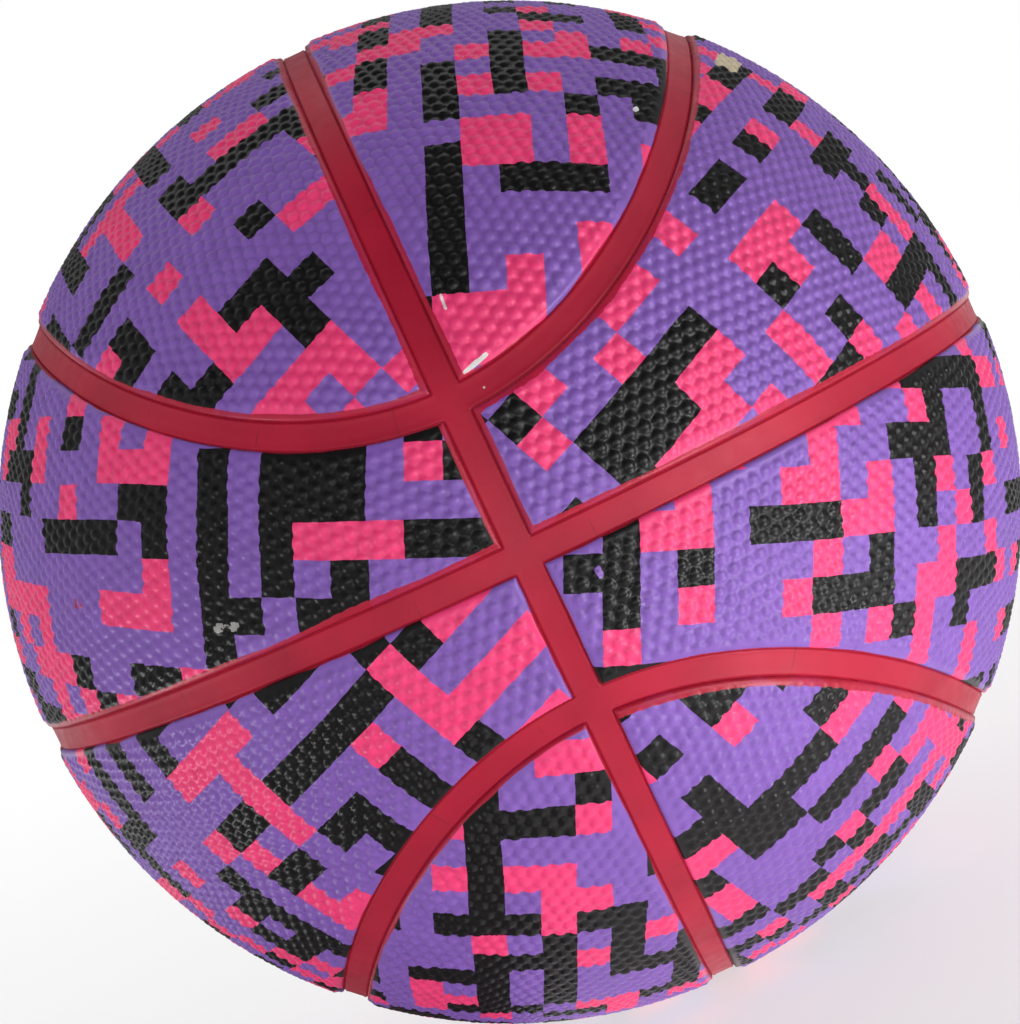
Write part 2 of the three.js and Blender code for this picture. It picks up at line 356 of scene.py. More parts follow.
@dataclass(frozen=True)
class PrintedRubber:
    """Cover rubber with a block print, moulded into pebbles.

    The ink lies in the surface, so the print breaks in small steps over the
    pebbles, and the satin skin gives each pebble a soft light on its crown.
    """

    name: str = "Satin cover rubber, block printed and moulded"
    cell_mm: float = 6.9
    roughness: float = 0.3
    shine: float = 0.3
    grain_mm: float = 0.55
    gloss_patch_mm: float = 9.0
    cloud_mm: float = 4.5
    torn_rim_mm: float = 1.7
    # Repeat of the waves in the print's edges, and how far they bend them
    warps_mm: tuple[tuple[float, float], ...] = ((24.0, 0.7), (2.1, 0.16))
    # The red paint's edge drifts, keeps off the pebbles' crowns and ends over a short fade
    paint_drift_mm: float = 14.0
    paint_drift: float = 1.6
    paint_off_crowns: float = 0.8
    paint_fade: tuple[float, float] = (0.74, 0.86)
    paint_cover: float = 0.94
    # Ink, whether upright, lanes, pitch, shortest and longest bar, share of places filled, seed
    layers: tuple[BarLayer, ...] = (
        BarLayer(Tint.PINK, True, 2, 5, 2, 4, 0.6, 11),
        BarLayer(Tint.BLACK, True, 2, 6, 3, 4, 0.57, 12),
        BarLayer(Tint.PINK, False, 2, 6, 2, 4, 0.6, 13),
        BarLayer(Tint.BLACK, False, 2, 6, 3, 5, 0.58, 14),
        BarLayer(Tint.PURPLE, True, 3, 5, 2, 4, 0.33, 15),
        BarLayer(Tint.PURPLE, False, 3, 4, 1, 3, 0.22, 16),
        BarLayer(Tint.PINK, False, 1, 3, 1, 1, 0.23, 17),
        BarLayer(Tint.BLACK, False, 1, 3, 1, 1, 0.18, 18),
    )
    # Tint, azimuth, elevation, heading, length, width, strength, breaks in the rim, share covered
    scuffs: tuple[Scuff, ...] = (
        Scuff(Tint.PURPLE, VALVE_AZIMUTH, VALVE_ELEVATION, 45, 30.0, 30.0, 1.0, 0.0),
        Scuff(Tint.CHALK, 3.4, 16.3, 14, 7.0, 1.1, 1.0, 0.9),
        Scuff(Tint.CHALK, 3.15, 22.4, -96, 4.0, 0.7, 0.9, 1.6),
        Scuff(Tint.CHALK, -26.9, 4.7, -16, 8.0, 2.4, 0.45, 4.0, 0.43),
        Scuff(Tint.PURPLE, 5.15, -4.0, -85, 3.2, 1.7, 1.0, 2.0, 0.46),
        Scuff(Tint.RED, -45.0, 12.0, -19, 8.0, 3.2, 0.8, 5.0, 0.4),
        Scuff(Tint.CREAM, 58.0, 35.7, 17, 17.0, 6.5, 1.0, 1.0),
        Scuff(Tint.CHALK, 33.3, 32.9, 0, 1.5, 1.1, 0.9, 0.4),
    )

    def build(self) -> Material:
        """Make the material.

        Returns:
            The cover's material, which reads the panels' own attributes.
        """
        material, sketch = new_material(self.name)
        place = sketch.add("TexCoord").outputs["Object"]
        colour = self.draw_print(sketch, place)
        colour = self.draw_paint(sketch, place, colour)
        colour = self.draw_wear(sketch, place, colour)
        grain = sketch.add("TexNoise", {"Vector": place, "Scale": per_mm(self.grain_mm), "Detail": 2.0})
        bump = sketch.add("Bump", {"Strength": 0.07, "Distance": 0.05 * MM, "Height": grain})
        patch = sketch.add(
            "TexNoise", {"Vector": place, "Scale": per_mm(self.gloss_patch_mm), "Detail": 2.0}
        )
        rough = sketch.add(
            "MapRange", {0: patch, **NOISE_SPAN, 3: self.roughness - 0.05, 4: self.roughness + 0.07}
        )
        surface = sketch.add(
            "BsdfPrincipled",
            {
                "Base Color": colour,
                "Roughness": rough,
                "Specular IOR Level": self.shine,
                "Normal": bump,
            },
        )
        sketch.add("OutputMaterial", {"Surface": surface})
        return material

    def draw_print(self, sketch: Sketch, place: Socket) -> Node:
        """Lay the bars of the print over the purple ground.

        Args:
            sketch: The cover's shader.
            place: Object coordinates.

        Returns:
            The print's colour.
        """
        cells = sketch.add("Attribute", attribute_name="print_cell").outputs["Vector"]
        for repeat, reach in self.warps_mm:
            noise = sketch.add("TexNoise", {"Vector": place, "Scale": per_mm(repeat), "Detail": 1.0})
            middle = sketch.add(
                "VectorMath", {0: noise.outputs["Color"], 1: (0.5,) * 3}, operation="SUBTRACT"
            )
            step = sketch.add(
                "VectorMath", {0: middle, "Scale": 2 * reach / self.cell_mm}, operation="SCALE"
            )
            cells = sketch.add("VectorMath", {0: cells, 1: step}, operation="ADD")
        axes = sketch.add("SeparateXYZ", {0: cells})
        colour: Node | tuple[float, ...] = linear(Tint.PURPLE)
        for layer in self.layers:
            mask = layer.mask(sketch, axes.outputs[0], axes.outputs[1])
            colour = sketch.add("Mix", {0: mask, 6: colour, 7: linear(layer.ink)}, data_type="RGBA")
        return colour

    def draw_paint(self, sketch: Sketch, place: Socket, colour: Node) -> Node:
        """Carry the channel's red paint over the panel's edge.

        Args:
            sketch: The cover's shader.
            place: Object coordinates.
            colour: The print's colour.

        Returns:
            The colour with paint along the painted edges.
        """
        beyond = sketch.add("Attribute", attribute_name="paint_mm").outputs["Fac"]
        pebble = sketch.add("Attribute", attribute_name="pebble").outputs["Fac"]
        drift = sketch.add(
            "TexNoise", {"Vector": place, "Scale": per_mm(self.paint_drift_mm), "Detail": 2.0}
        )
        lap = sketch.add("Math", {0: drift, 1: self.paint_drift, 2: beyond}, operation="MULTIPLY_ADD")
        crowns = sketch.add("Math", {0: pebble, 1: self.paint_off_crowns, 2: lap}, operation="MULTIPLY_ADD")
        first, last = self.paint_fade
        covered = sketch.add(
            "MapRange", {0: crowns, 1: first, 2: last, 3: self.paint_cover, 4: 0.0}, clamp=True
        )
        return sketch.add("Mix", {0: covered, 6: colour, 7: linear(Tint.RED)}, data_type="RGBA")

    def draw_wear(self, sketch: Sketch, place: Socket, colour: Node) -> Node:
        """Add faint clouding and the rub marks.

        Args:
            sketch: The cover's shader.
            place: Object coordinates.
            colour: The printed and painted colour.

        Returns:
            The worn colour.
        """
        cloud, ragged = (
            sketch.add("TexNoise", {"Vector": place, "Scale": per_mm(repeat), "Detail": 3.0})
            for repeat in (self.cloud_mm, self.torn_rim_mm)
        )
        level = sketch.add("MapRange", {0: cloud, **NOISE_SPAN, 3: 0.93, 4: 1.07})
        colour = sketch.add("VectorMath", {0: colour, "Scale": level}, operation="SCALE")
        for scuff in self.scuffs:
            mask = scuff.mask(sketch, place, ragged)
            colour = sketch.add("Mix", {0: mask, 6: colour, 7: linear(scuff.tint)}, data_type="RGBA")
        return colour


@dataclass(frozen=True)
class ChannelRubber:
    """Red lining of the channels, moulded smooth and painted.

    A soft clouding in the paint and fine cross lines left by the mould keep
    the flat floor from looking like plastic film.
    """

    name: str = "Red channel rubber, smooth moulded and painted"
    roughness: float = 0.42
    shine: float = 0.22
    cloud_mm: float = 17.0
    ripple_mm: float = 3.2
    speck_spacing_mm: float = 13.0
    line_pitch_mm: float = 27.0
    line_width_mm: float = 0.16
    line_bend_mm: float = 0.5
    line_bend_repeat_mm: float = 2.5
    line_patch_mm: float = 6.0

    def build(self) -> Material:
        """Make the material.

        Returns:
            The linings' material, which reads their run along the seam.
        """
        material, sketch = new_material(self.name)
        place = sketch.add("TexCoord").outputs["Object"]
        run = sketch.add("Attribute", attribute_name="run_mm").outputs["Fac"]
        cloud = sketch.add("TexNoise", {"Vector": place, "Scale": per_mm(self.cloud_mm), "Detail": 3.0})
        level = sketch.add("MapRange", {0: cloud, **NOISE_SPAN, 3: 0.88, 4: 1.12})
        colour = sketch.add("VectorMath", {0: linear(Tint.RED)[:3], "Scale": level}, operation="SCALE")
        bend = sketch.add("TexNoise", {"Vector": place, "Scale": per_mm(self.line_bend_repeat_mm)})
        bent = sketch.add("Math", {0: bend, 1: self.line_bend_mm, 2: run}, operation="MULTIPLY_ADD")
        phase = sketch.add("Math", {0: bent, 1: self.line_pitch_mm}, operation="FLOORED_MODULO")
        reach = sketch.add("Math", {0: phase, 1: self.line_pitch_mm / 2}, operation="SUBTRACT")
        off_line = sketch.add("Math", {0: reach}, operation="ABSOLUTE")
        line = sketch.add(
            "MapRange",
            {0: off_line, 1: self.line_width_mm / 2, 2: self.line_width_mm, 3: 1.0, 4: 0.0},
            clamp=True,
        )
        patch = sketch.add("TexNoise", {"Vector": place, "Scale": per_mm(self.line_patch_mm)})
        shown = sketch.add("MapRange", {0: patch, 1: 0.48, 2: 0.58, 3: 0.0, 4: 0.4}, clamp=True)
        faint = sketch.add("Math", {0: line, 1: shown}, operation="MULTIPLY")
        colour = sketch.add("Mix", {0: faint, 6: colour, 7: linear(Tint.CARCASS)}, data_type="RGBA")
        specks = sketch.add("TexVoronoi", {"Vector": place, "Scale": per_mm(self.speck_spacing_mm)})
        off_speck = specks.outputs["Distance"]
        dot = sketch.add("MapRange", {0: off_speck, 1: 0.012, 2: 0.022, 3: 0.7, 4: 0.0}, clamp=True)
        colour = sketch.add("Mix", {0: dot, 6: colour, 7: linear(Tint.CHALK)}, data_type="RGBA")
        ripple = sketch.add("TexNoise", {"Vector": place, "Scale": per_mm(self.ripple_mm), "Detail": 3.0})
        rough = sketch.add(
            "MapRange", {0: ripple, **NOISE_SPAN, 3: self.roughness - 0.06, 4: self.roughness + 0.1}
        )
        bump = sketch.add("Bump", {"Strength": 0.2, "Distance": 0.12 * MM, "Height": ripple})
        surface = sketch.add(
            "BsdfPrincipled",
            {
                "Base Color": colour,
                "Roughness": rough,
                "Specular IOR Level": self.shine,
                "Normal": bump,
            },
        )
        sketch.add("OutputMaterial", {"Surface": surface})
        return material


@dataclass(frozen=True)
class PlainRubber:
    """Dark rubber of one colour with a fine moulded grain.

    The grain breaks the reflection up, so the rubber looks dry, not lacquered.
    """

    name: str
    tint: Tint
    roughness: float
    grain_mm: float

    def build(self) -> Material:
        """Make the material.

        Returns:
            A rubber of the given tint.
        """
        material, sketch = new_material(self.name)
        place = sketch.add("TexCoord").outputs["Object"]
        grain = sketch.add("TexNoise", {"Vector": place, "Scale": per_mm(self.grain_mm), "Detail": 3.0})
        level = sketch.add("MapRange", {0: grain, **NOISE_SPAN, 3: 0.85, 4: 1.15})
        colour = sketch.add("VectorMath", {0: linear(self.tint)[:3], "Scale": level}, operation="SCALE")
        bump = sketch.add("Bump", {"Strength": 0.25, "Distance": 0.05 * MM, "Height": grain})
        surface = sketch.add(
            "BsdfPrincipled",
            {"Base Color": colour, "Roughness": self.roughness, "IOR": 1.5, "Normal": bump},
        )
        sketch.add("OutputMaterial", {"Surface": surface})
        return material


@dataclass(frozen=True)
class WoundThread:
    """Off-white nylon thread, wound round the bladder in bands.

    Ridges as wide as a band run round the shell, with a second set across them,
    and painted shade darkens the hollows between the ridges.
    """

    name: str = "Nylon thread, wound"
    band_mm: float = 7.54

    # Radians of a wave texture to one unit of its scale
    WAVE_RADIANS = 20

    def build(self) -> Material:
        """Make the material.

        Returns:
            The winding's material.
        """
        material, sketch = new_material(self.name)
        place = sketch.add("TexCoord").outputs["Object"]
        scale = math.tau * per_mm(self.band_mm) / self.WAVE_RADIANS
        bands = {"Vector": place, "Scale": scale, "Distortion": 0.4}
        ridges = [sketch.add("TexWave", bands, bands_direction=axis) for axis in ("Z", "DIAGONAL")]
        weave = sketch.add("Math", {0: ridges[0], 1: ridges[1]}, operation="MAXIMUM")
        # Painted shade: the thread's colour is darker in the hollows between the ridges
        level = sketch.add("MapRange", {0: weave, 3: 0.6, 4: 1.0})
        colour = sketch.add("VectorMath", {0: linear(Tint.THREAD)[:3], "Scale": level}, operation="SCALE")
        bump = sketch.add("Bump", {"Strength": 0.5, "Distance": 0.1 * MM, "Height": weave})
        surface = sketch.add("BsdfPrincipled", {"Base Color": colour, "Roughness": 0.8, "Normal": bump})
        sketch.add("OutputMaterial", {"Surface": surface})
        return material


@dataclass(frozen=True)
class SeamPlan:
    """Lines of the seams on the ball, the same as in the solids.

    Points are unit directions from the ball's centre. Only the upper curved
    seam is worked out, because the lower one is its mirror image.
    """

    radius: float = 121.5
    channel_half: float = 2.8
    curve_mean: float = 32.9
    curve_swing: float = 16.1
    curve_fullness: float = 2.55

    # Points that are measured at a time, to keep the memory small
    BATCH = 20000

    def curve_elevation(self, azimuth: Array) -> Array:
        """Find how high the curved seam is.

        Args:
            azimuth: Where on the seam, in radians.

        Returns:
            Its elevation there, in radians.
        """
        degrees = (
            self.curve_mean
            - self.curve_swing * np.cos(2 * azimuth)
            - self.curve_fullness * np.cos(4 * azimuth)
        )
        return np.radians(degrees)

    def curve_frame(self, azimuth: Array) -> tuple[Array, Array]:
        """Find points of the curved seam and which way the crown is.

        Args:
            azimuth: Where on the seam, in radians.

        Returns:
            Points, and unit vectors across the seam towards the crown.
        """
        elevation = self.curve_elevation(azimuth)
        slope = np.radians(
            2 * self.curve_swing * np.sin(2 * azimuth)
            + 4 * self.curve_fullness * np.sin(4 * azimuth)
        )
        point = direction(azimuth, elevation)
        east = np.cos(elevation)[..., None] * direction(azimuth + np.pi / 2, np.zeros_like(azimuth))
        north = direction(azimuth, elevation + np.pi / 2)
        tangent = unit(east + slope[..., None] * north)
        return point, np.cross(point, tangent)

    def beside_curve(self, azimuth: Array, offset: Array) -> Array:
        """Step sideways off the curved seam.

        Args:
            azimuth: Where on the seam, in radians.
            offset: Step towards the crown.

        Returns:
            Points beside the seam.
        """
        point, across = self.curve_frame(azimuth)
        turn = (np.asarray(offset) / self.radius)[..., None]
        return point * np.cos(turn) + across * np.sin(turn)

    def beside_equator(self, azimuth: Array, offset: Array) -> Array:
        """Return points at `offset` above the equator."""
        return direction(azimuth, np.asarray(offset) / self.radius)

    def beside_meridian(self, angle: Array, offset: Array) -> Array:
        """Step to the right of the meridian seam.

        Args:
            angle: Angle from the front crossing over the crown, in radians.
            offset: Step towards +X.

        Returns:
            Points beside the seam.
        """
        turn = np.asarray(offset) / self.radius
        level = np.cos(turn)
        return np.stack(
            np.broadcast_arrays(np.sin(turn), -level * np.cos(angle), level * np.sin(angle)),
            axis=-1,
        )

    def above_equator(self, points: Array) -> Array:
        """Return the signed distance above the equator."""
        return self.radius * np.arcsin(np.clip(points[..., 2], -1, 1))

    def right_of_meridian(self, points: Array) -> Array:
        """Return the signed distance to the right of the meridian seam."""
        return self.radius * np.arcsin(np.clip(points[..., 0], -1, 1))

    def above_curve(self, points: Array) -> Array:
        """Measure how far points are above the curved seam.

        Args:
            points: Directions in the upper half of the ball.

        Returns:
            Distance at right angles to the seam, below 0 under it.
        """
        step = math.radians(0.5)
        azimuths = np.arange(-math.pi, math.pi, step)
        line = self.curve_frame(azimuths)[0]
        flat = points.reshape(-1, 3)
        nearest = np.empty(len(flat))
        for start in range(0, len(flat), self.BATCH):
            near = flat[start : start + self.BATCH] @ line.T
            best = near.argmax(axis=1)
            rows = np.arange(len(near))
            # A parabola through the nearest sample and its neighbours finds the place between them
            before = near[rows, best - 1]
            after = near[rows, (best + 1) % len(azimuths)]
            bow = before - 2 * near[rows, best] + after
            nearest[start : start + self.BATCH] = azimuths[best] + step * 0.5 * (before - after) / bow
        across = self.curve_frame(nearest)[1]
        side = np.clip(np.einsum("ij,ij->i", flat, across), -1, 1)
        return (self.radius * np.arcsin(side)).reshape(points.shape[:-1])


@dataclass(frozen=True)
class Chart:
    """Flat map of a panel that keeps shapes, unrolled along its midline."""

    tilt: float
    radius: float

    def flatten(self, points: Array) -> Array:
        """Map directions to the chart.

        Args:
            points: Unit directions.

        Returns:
            Millimetres along and across the panel.
        """
        lean, rise = math.cos(self.tilt), math.sin(self.tilt)
        x = points[..., 0] * lean + points[..., 2] * rise
        z = points[..., 2] * lean - points[..., 0] * rise
        along = np.arctan2(x, -points[..., 1])
        across = np.arcsinh(z / np.hypot(x, points[..., 1]))
        return self.radius * np.stack([along, across], axis=-1)

    def lift(self, spots: Array) -> Array:
        """Map chart places back to directions.

        Args:
            spots: Millimetres along and across the panel.

        Returns:
            Unit directions.
        """
        along, across = spots[..., 0] / self.radius, spots[..., 1] / self.radius
        level = 1 / np.cosh(across)
        x, z = level * np.sin(along), np.tanh(across)
        lean, rise = math.cos(self.tilt), math.sin(self.tilt)
        return np.stack(
            [x * lean - z * rise, -level * np.cos(along), x * rise + z * lean], axis=-1
        )


def triangulate(spots: Array, loops: Sequence[Array]) -> Array:
    """Fill an outline with triangles on the chart.

    Args:
        spots: Chart places of all points.
        loops: Closed rings of point numbers that the triangles keep to.

    Returns:
        Point numbers of the triangles, turned counter-clockwise.
    """
    inside_only, same_point, least_area = 1, 1e-7, 1e-9
    edges = [pair for loop in loops for pair in zip(loop.tolist(), np.roll(loop, -1).tolist())]
    coords = [Vector(spot) for spot in spots.tolist()]
    _, _, faces, origins, _, _ = delaunay_2d_cdt(coords, edges, [], inside_only, same_point, True)
    source = np.array([origin[0] for origin in origins])
    triangles = source[np.array(faces)]
    a, b, c = (spots[triangles[:, i]] for i in range(3))
    turn = (b - a)[:, 0] * (c - a)[:, 1] - (b - a)[:, 1] * (c - a)[:, 0]
    triangles[turn < 0] = triangles[turn < 0][:, ::-1]
    return triangles[np.abs(turn) > least_area]


def make_object(name: str, points: Array, faces: Array, material: Material) -> Object:
    """Make a mesh object in the row frame.

    Args:
        name: Name of the piece.
        points: Vertices in millimetres.
        faces: Triangles or quads, as rows of point numbers.
        material: The piece's material.

    Returns:
        The object, smooth shaded with sharp folds kept.
    """
    sharp_from = math.radians(62)
    mesh = bpy.data.meshes.new(name)
    sides = faces.shape[1]
    mesh.vertices.add(len(points))
    mesh.vertices.foreach_set("co", (points * MM).astype(np.float32).ravel())
    mesh.loops.add(faces.size)
    mesh.loops.foreach_set("vertex_index", faces.astype(np.int32).ravel())
    mesh.polygons.add(len(faces))
    mesh.polygons.foreach_set("loop_start", np.arange(0, faces.size, sides, dtype=np.int32))
    mesh.polygons.foreach_set("use_smooth", np.ones(len(faces), dtype=bool))
    mesh.update(calc_edges=True)
    mesh.validate()
    mesh.set_sharp_from_angle(angle=sharp_from)
    mesh.materials.append(material)
    obj = bpy.data.objects.new(name, mesh)
    bpy.context.scene.collection.objects.link(obj)
    return obj


def set_attribute(obj: Object, name: str, values: Array) -> None:
    """Store a number or a vector on each vertex.

    Args:
        obj: The mesh object.
        name: Name that shaders read.
        values: One row for each vertex.
    """
    kind, key = ("FLOAT", "value") if values.ndim == 1 else ("FLOAT_VECTOR", "vector")
    layer = obj.data.attributes.new(name, kind, "POINT")
    layer.data.foreach_set(key, values.astype(np.float32).ravel())


def set_bake_map(obj: Object, corners: Array) -> None:
    """Give a mesh the flat map that its finish is baked on, with a place for each face corner."""
    layer = obj.data.uv_layers.new(name="OFBake")
    layer.uv.foreach_set("vector", corners.astype(np.float32).ravel())


@dataclass(frozen=True)
class PebbleStyle:
    """Size and spread of the moulded pebbles."""

    spacing: float = 2.95
    base: float = 1.15
    height: float = 0.55
    wander: float = 0.1
    most_wander: float = 0.2
    base_spread: tuple[float, float] = (0.93, 1.07)
    height_spread: tuple[float, float] = (0.88, 1.08)
    edge_room: float = 0.4
    bare_edge: float = 1.0
    full_from: float = 2.1
    # Share of the base's radius, number of points and share of the height, from the crown out
    rings: tuple[tuple[float, int, float], ...] = (
        (0.0, 1, 1.0),
        (0.46, 6, 0.93),
        (0.8, 8, 0.66),
        (0.96, 8, 0.27),
        (1.06, 8, 0.0),
    )


@dataclass(frozen=True)
class ValveHole:
    """Hole in the cover round the valve's sleeve."""

    azimuth: float = VALVE_AZIMUTH
    elevation: float = VALVE_ELEVATION
    radius: float = 6.15
    count: int = 64
    wall_top: float = -1.1

    def axis(self) -> Array:
        """Return the valve's axis, out of the ball."""
        return direction(np.radians(self.azimuth), np.radians(self.elevation))

    def ring(self, plan: SeamPlan, gap: float) -> Array:
        """Go once round the hole.

        Args:
            plan: The ball's seams, for its radius.
            gap: Distance outside the hole's edge.

        Returns:
            Directions, clockwise from outside.
        """
        axis = self.axis()
        east, north = tangents(axis)
        turn = -np.arange(self.count)[:, None] * 2 * np.pi / self.count
        reach = math.asin((self.radius + gap) / plan.radius)
        return axis * math.cos(reach) + math.sin(reach) * (
            east * np.cos(turn) + north * np.sin(turn)
        )

    def gap(self, plan: SeamPlan, points: Array) -> Array:
        """Return how far points are outside the hole's edge."""
        return plan.radius * np.arccos(np.clip(points @ self.axis(), -1, 1)) - self.radius


@dataclass
class PanelForm:
    """A cover panel in the octant above the equator and right of the meridian.

    The other panels of its kind are this one's mirror images.
    """

    kind: PanelKind
    plan: SeamPlan
    style: PebbleStyle
    hole: ValveHole | None = None
    points: Array = field(init=False)
    faces: Array = field(init=False)
    chart_mm: Array = field(init=False)
    gaps: Array = field(init=False)
    pebble: Array = field(init=False)
    bake: Array = field(init=False)

    # Distance in from the panel's edge, height over the ball's radius, corner radius
    SHOULDER = (
        (0.0, -1.25, 0.1),
        (0.05, -0.8, 0.25),
        (0.16, -0.52, 0.45),
        (0.36, -0.33, 0.7),
        (0.7, -0.22, 0.9),
        (1.1, -0.18, 1.0),
    )
    VALLEY = -0.18
    UNDERSIDE = -1.3
    # Bare strip between the shoulder's last ring and the first pebble points
    RING_ROOM = 0.18
    # Spacing of points along the curved edge and over the underside
    ALONG = 0.85
    UNDER_ALONG = 8.0
    # Length of the curved edge, as a share of the same turn round the equator
    CURVE_SHARE = 0.93
    # Points along the other edges and round a corner
    CREST_COUNT = 330
    FOOT_COUNT = 441
    FRONT_COUNT = 28
    CORNER_COUNT = 7
    # Radians along the curved seam by which its corner and its plain edge have begun
    CORNER_BY = 0.5
    EDGE_BY = 0.6
    # Rectangle of the chart that holds a panel: start, end and half the width
    CHART_BOX = (-5, 390, 75)
    LATTICE_HALF = 110
    # Degrees from the equator to the panel's midline, and from there to the rows of pebbles
    TILT = {PanelKind.SIDE: 23.2, PanelKind.CROWN: 68.2}
    LEAN = {PanelKind.SIDE: -23.2, PanelKind.CROWN: 21.8}
    # Room between the parts of the bake map, and the size of the underside there
    BAKE_GAP = 2.0
    UNDER_SHRINK = 0.25

    @property
    def chart(self) -> Chart:
        """The panel's flat map, along the middle between its long edges."""
        return Chart(math.radians(self.TILT[self.kind]), self.plan.radius)

    def edge_gaps(self, points: Array) -> Array:
        """Measure how far points are in from the edges of the channels.

        Args:
            points: Directions in the octant.

        Returns:
            Distances from the meridian, equator and curved channels.
        """
        half = self.plan.channel_half
        curve = self.plan.above_curve(points)
        below = self.kind is PanelKind.SIDE
        return np.stack(
            [
                self.plan.right_of_meridian(points) - half,
                self.plan.above_equator(points) - half,
                (-curve if below else curve) - half,
            ],
            axis=-1,
        )

    def corner(self, partner: Route, gap: float, rounding: float) -> Array:
        """Turn the panel's front corner from the meridian to another edge.

        Args:
            partner: The channel that meets the meridian there.
            gap: Distance in from the edges.
            rounding: Corner radius.

        Returns:
            Directions from the meridian edge to the other one.
        """
        t = np.linspace(0, np.pi / 2, self.CORNER_COUNT)
        off_meridian = self.plan.channel_half + gap + rounding * (1 - np.cos(t))
        off_partner = self.plan.channel_half + gap + rounding * (1 - np.sin(t))
        x = np.sin(off_meridian / self.plan.radius)
        if partner is Route.EQUATOR:
            z = np.sin(off_partner / self.plan.radius)
            return np.stack([x, -np.sqrt(1 - x * x - z * z), z], axis=-1)
        offset = -off_partner if self.kind is PanelKind.SIDE else off_partner
        azimuth = last_short(
            lambda trial: self.plan.beside_curve(trial, offset)[:, 0] < x,
            np.full_like(t, self.CORNER_BY),
        )
        return self.plan.beside_curve(azimuth, offset)

    def outline(self, gap: float, rounding: float) -> Array:
        """Go once round the panel at a distance in from its edge.

        Args:
            gap: Distance in from the edge.
            rounding: Corner radius.

        Returns:
            Directions, counter-clockwise from outside.
        """
        mirror = np.array([1, -1, 1])
        inset = self.plan.channel_half + gap
        side = self.kind is PanelKind.SIDE
        curve_turn = self.corner(Route.CURVE, gap, rounding)
        offset = -inset if side else inset
        start = last_short(
            lambda trial: azimuth_of(self.plan.beside_curve(trial, offset)) < azimuth_of(curve_turn[-1]),
            np.full(1, self.EDGE_BY),
        ).item()
        count = round((math.pi - 2 * start) * self.plan.radius * self.CURVE_SHARE / self.ALONG)
        steps = np.linspace(start, math.pi - start, count)[1:-1]
        curve_edge = self.plan.beside_curve(steps, offset)
        top = climb_of(curve_turn[0])
        if not side:
            over = np.linspace(math.pi - top, top, self.CREST_COUNT)[1:-1]
            crest = self.plan.beside_meridian(over, inset)
            return np.concatenate([curve_turn, curve_edge, (curve_turn * mirror)[::-1], crest])
        foot_turn = self.corner(Route.EQUATOR, gap, rounding)
        foot = azimuth_of(foot_turn[-1])
        round_steps = np.linspace(foot, math.pi - foot, self.FOOT_COUNT)[1:-1]
        foot_edge = self.plan.beside_equator(round_steps, inset)
        down = np.linspace(top, climb_of(foot_turn[0]), self.FRONT_COUNT)[1:-1]
        front_edge = self.plan.beside_meridian(down, inset)
        return np.concatenate(
            [
                foot_turn,
                foot_edge,
                (foot_turn * mirror)[::-1],
                (front_edge * mirror)[::-1],
                curve_turn * mirror,
                curve_edge[::-1],
                curve_turn[::-1],
                front_edge,
            ]
        )

    def inner_gap(self, points: Array) -> Array:
        """Measure how far points are in from the panel's nearest edge.

        Args:
            points: Directions in the octant.

        Returns:
            Distance, eased round the corners, below 0 outside the panel.
        """
        gaps = self.edge_gaps(points)
        if self.kind is PanelKind.CROWN:
            gaps = gaps[..., [0, 2]]
        rounding = self.SHOULDER[-1][2]
        short = np.clip(rounding - gaps, 0, None)
        eased = rounding - np.linalg.norm(short, axis=-1)
        gap = np.where(gaps.min(axis=-1) > rounding, gaps.min(axis=-1), eased)
        if self.hole is not None:
            gap = np.minimum(gap, self.hole.gap(self.plan, points))
        return gap

    def lattice(self) -> tuple[Array, Array]:
        """Spread the pebbles over the panel.

        Returns:
            Chart places of the mesh points, and the pebble's height there.
        """
        style = self.style
        rng = np.random.default_rng(SEED + (self.kind is PanelKind.SIDE))
        lean = math.radians(self.LEAN[self.kind])
        reach = np.arange(-self.LATTICE_HALF, self.LATTICE_HALF)
        i, j = (axis.ravel() for axis in np.meshgrid(reach, reach, indexing="ij"))
        x = style.spacing * (i + 0.5 * (j % 2))
        y = style.spacing * math.sqrt(0.75) * j
        turn = np.array([[math.cos(lean), math.sin(lean)], [-math.sin(lean), math.cos(lean)]])
        middle = np.array([self.plan.radius * math.pi / 2, 0])
        centres = np.stack([x, y], axis=-1) @ turn + middle
        first, last, half = self.CHART_BOX
        near = (np.abs(centres[:, 1]) < half) & (centres[:, 0] > first) & (centres[:, 0] < last)
        centres = centres[near]
        centres = centres[self.inner_gap(self.chart.lift(centres)) > style.edge_room]
        wander = rng.normal(0, style.wander, centres.shape).clip(-style.most_wander, style.most_wander)
        bases = style.base * rng.uniform(*style.base_spread, len(centres))
        heights = rng.uniform(*style.height_spread, len(centres))
        start = rng.uniform(0, 2 * np.pi, len(centres))
        spots, rises = [], []
        for number, (reach_part, count, rise) in enumerate(style.rings):
            half_step = 0.5 * (number % 2)
            for k in range(count):
                angle = start + 2 * np.pi * (k + half_step) / count
                arm = np.stack([np.cos(angle), np.sin(angle)], axis=-1)
                spots.append(centres + wander + arm * (bases * reach_part)[:, None])
                rises.append(heights * rise)
        spots, rises = np.concatenate(spots), np.concatenate(rises)
        gap = self.inner_gap(self.chart.lift(spots))
        kept = gap > self.SHOULDER[-1][0] + self.RING_ROOM
        fade = smoothstep(style.bare_edge, style.full_from, gap[kept])
        return spots[kept], rises[kept] * fade

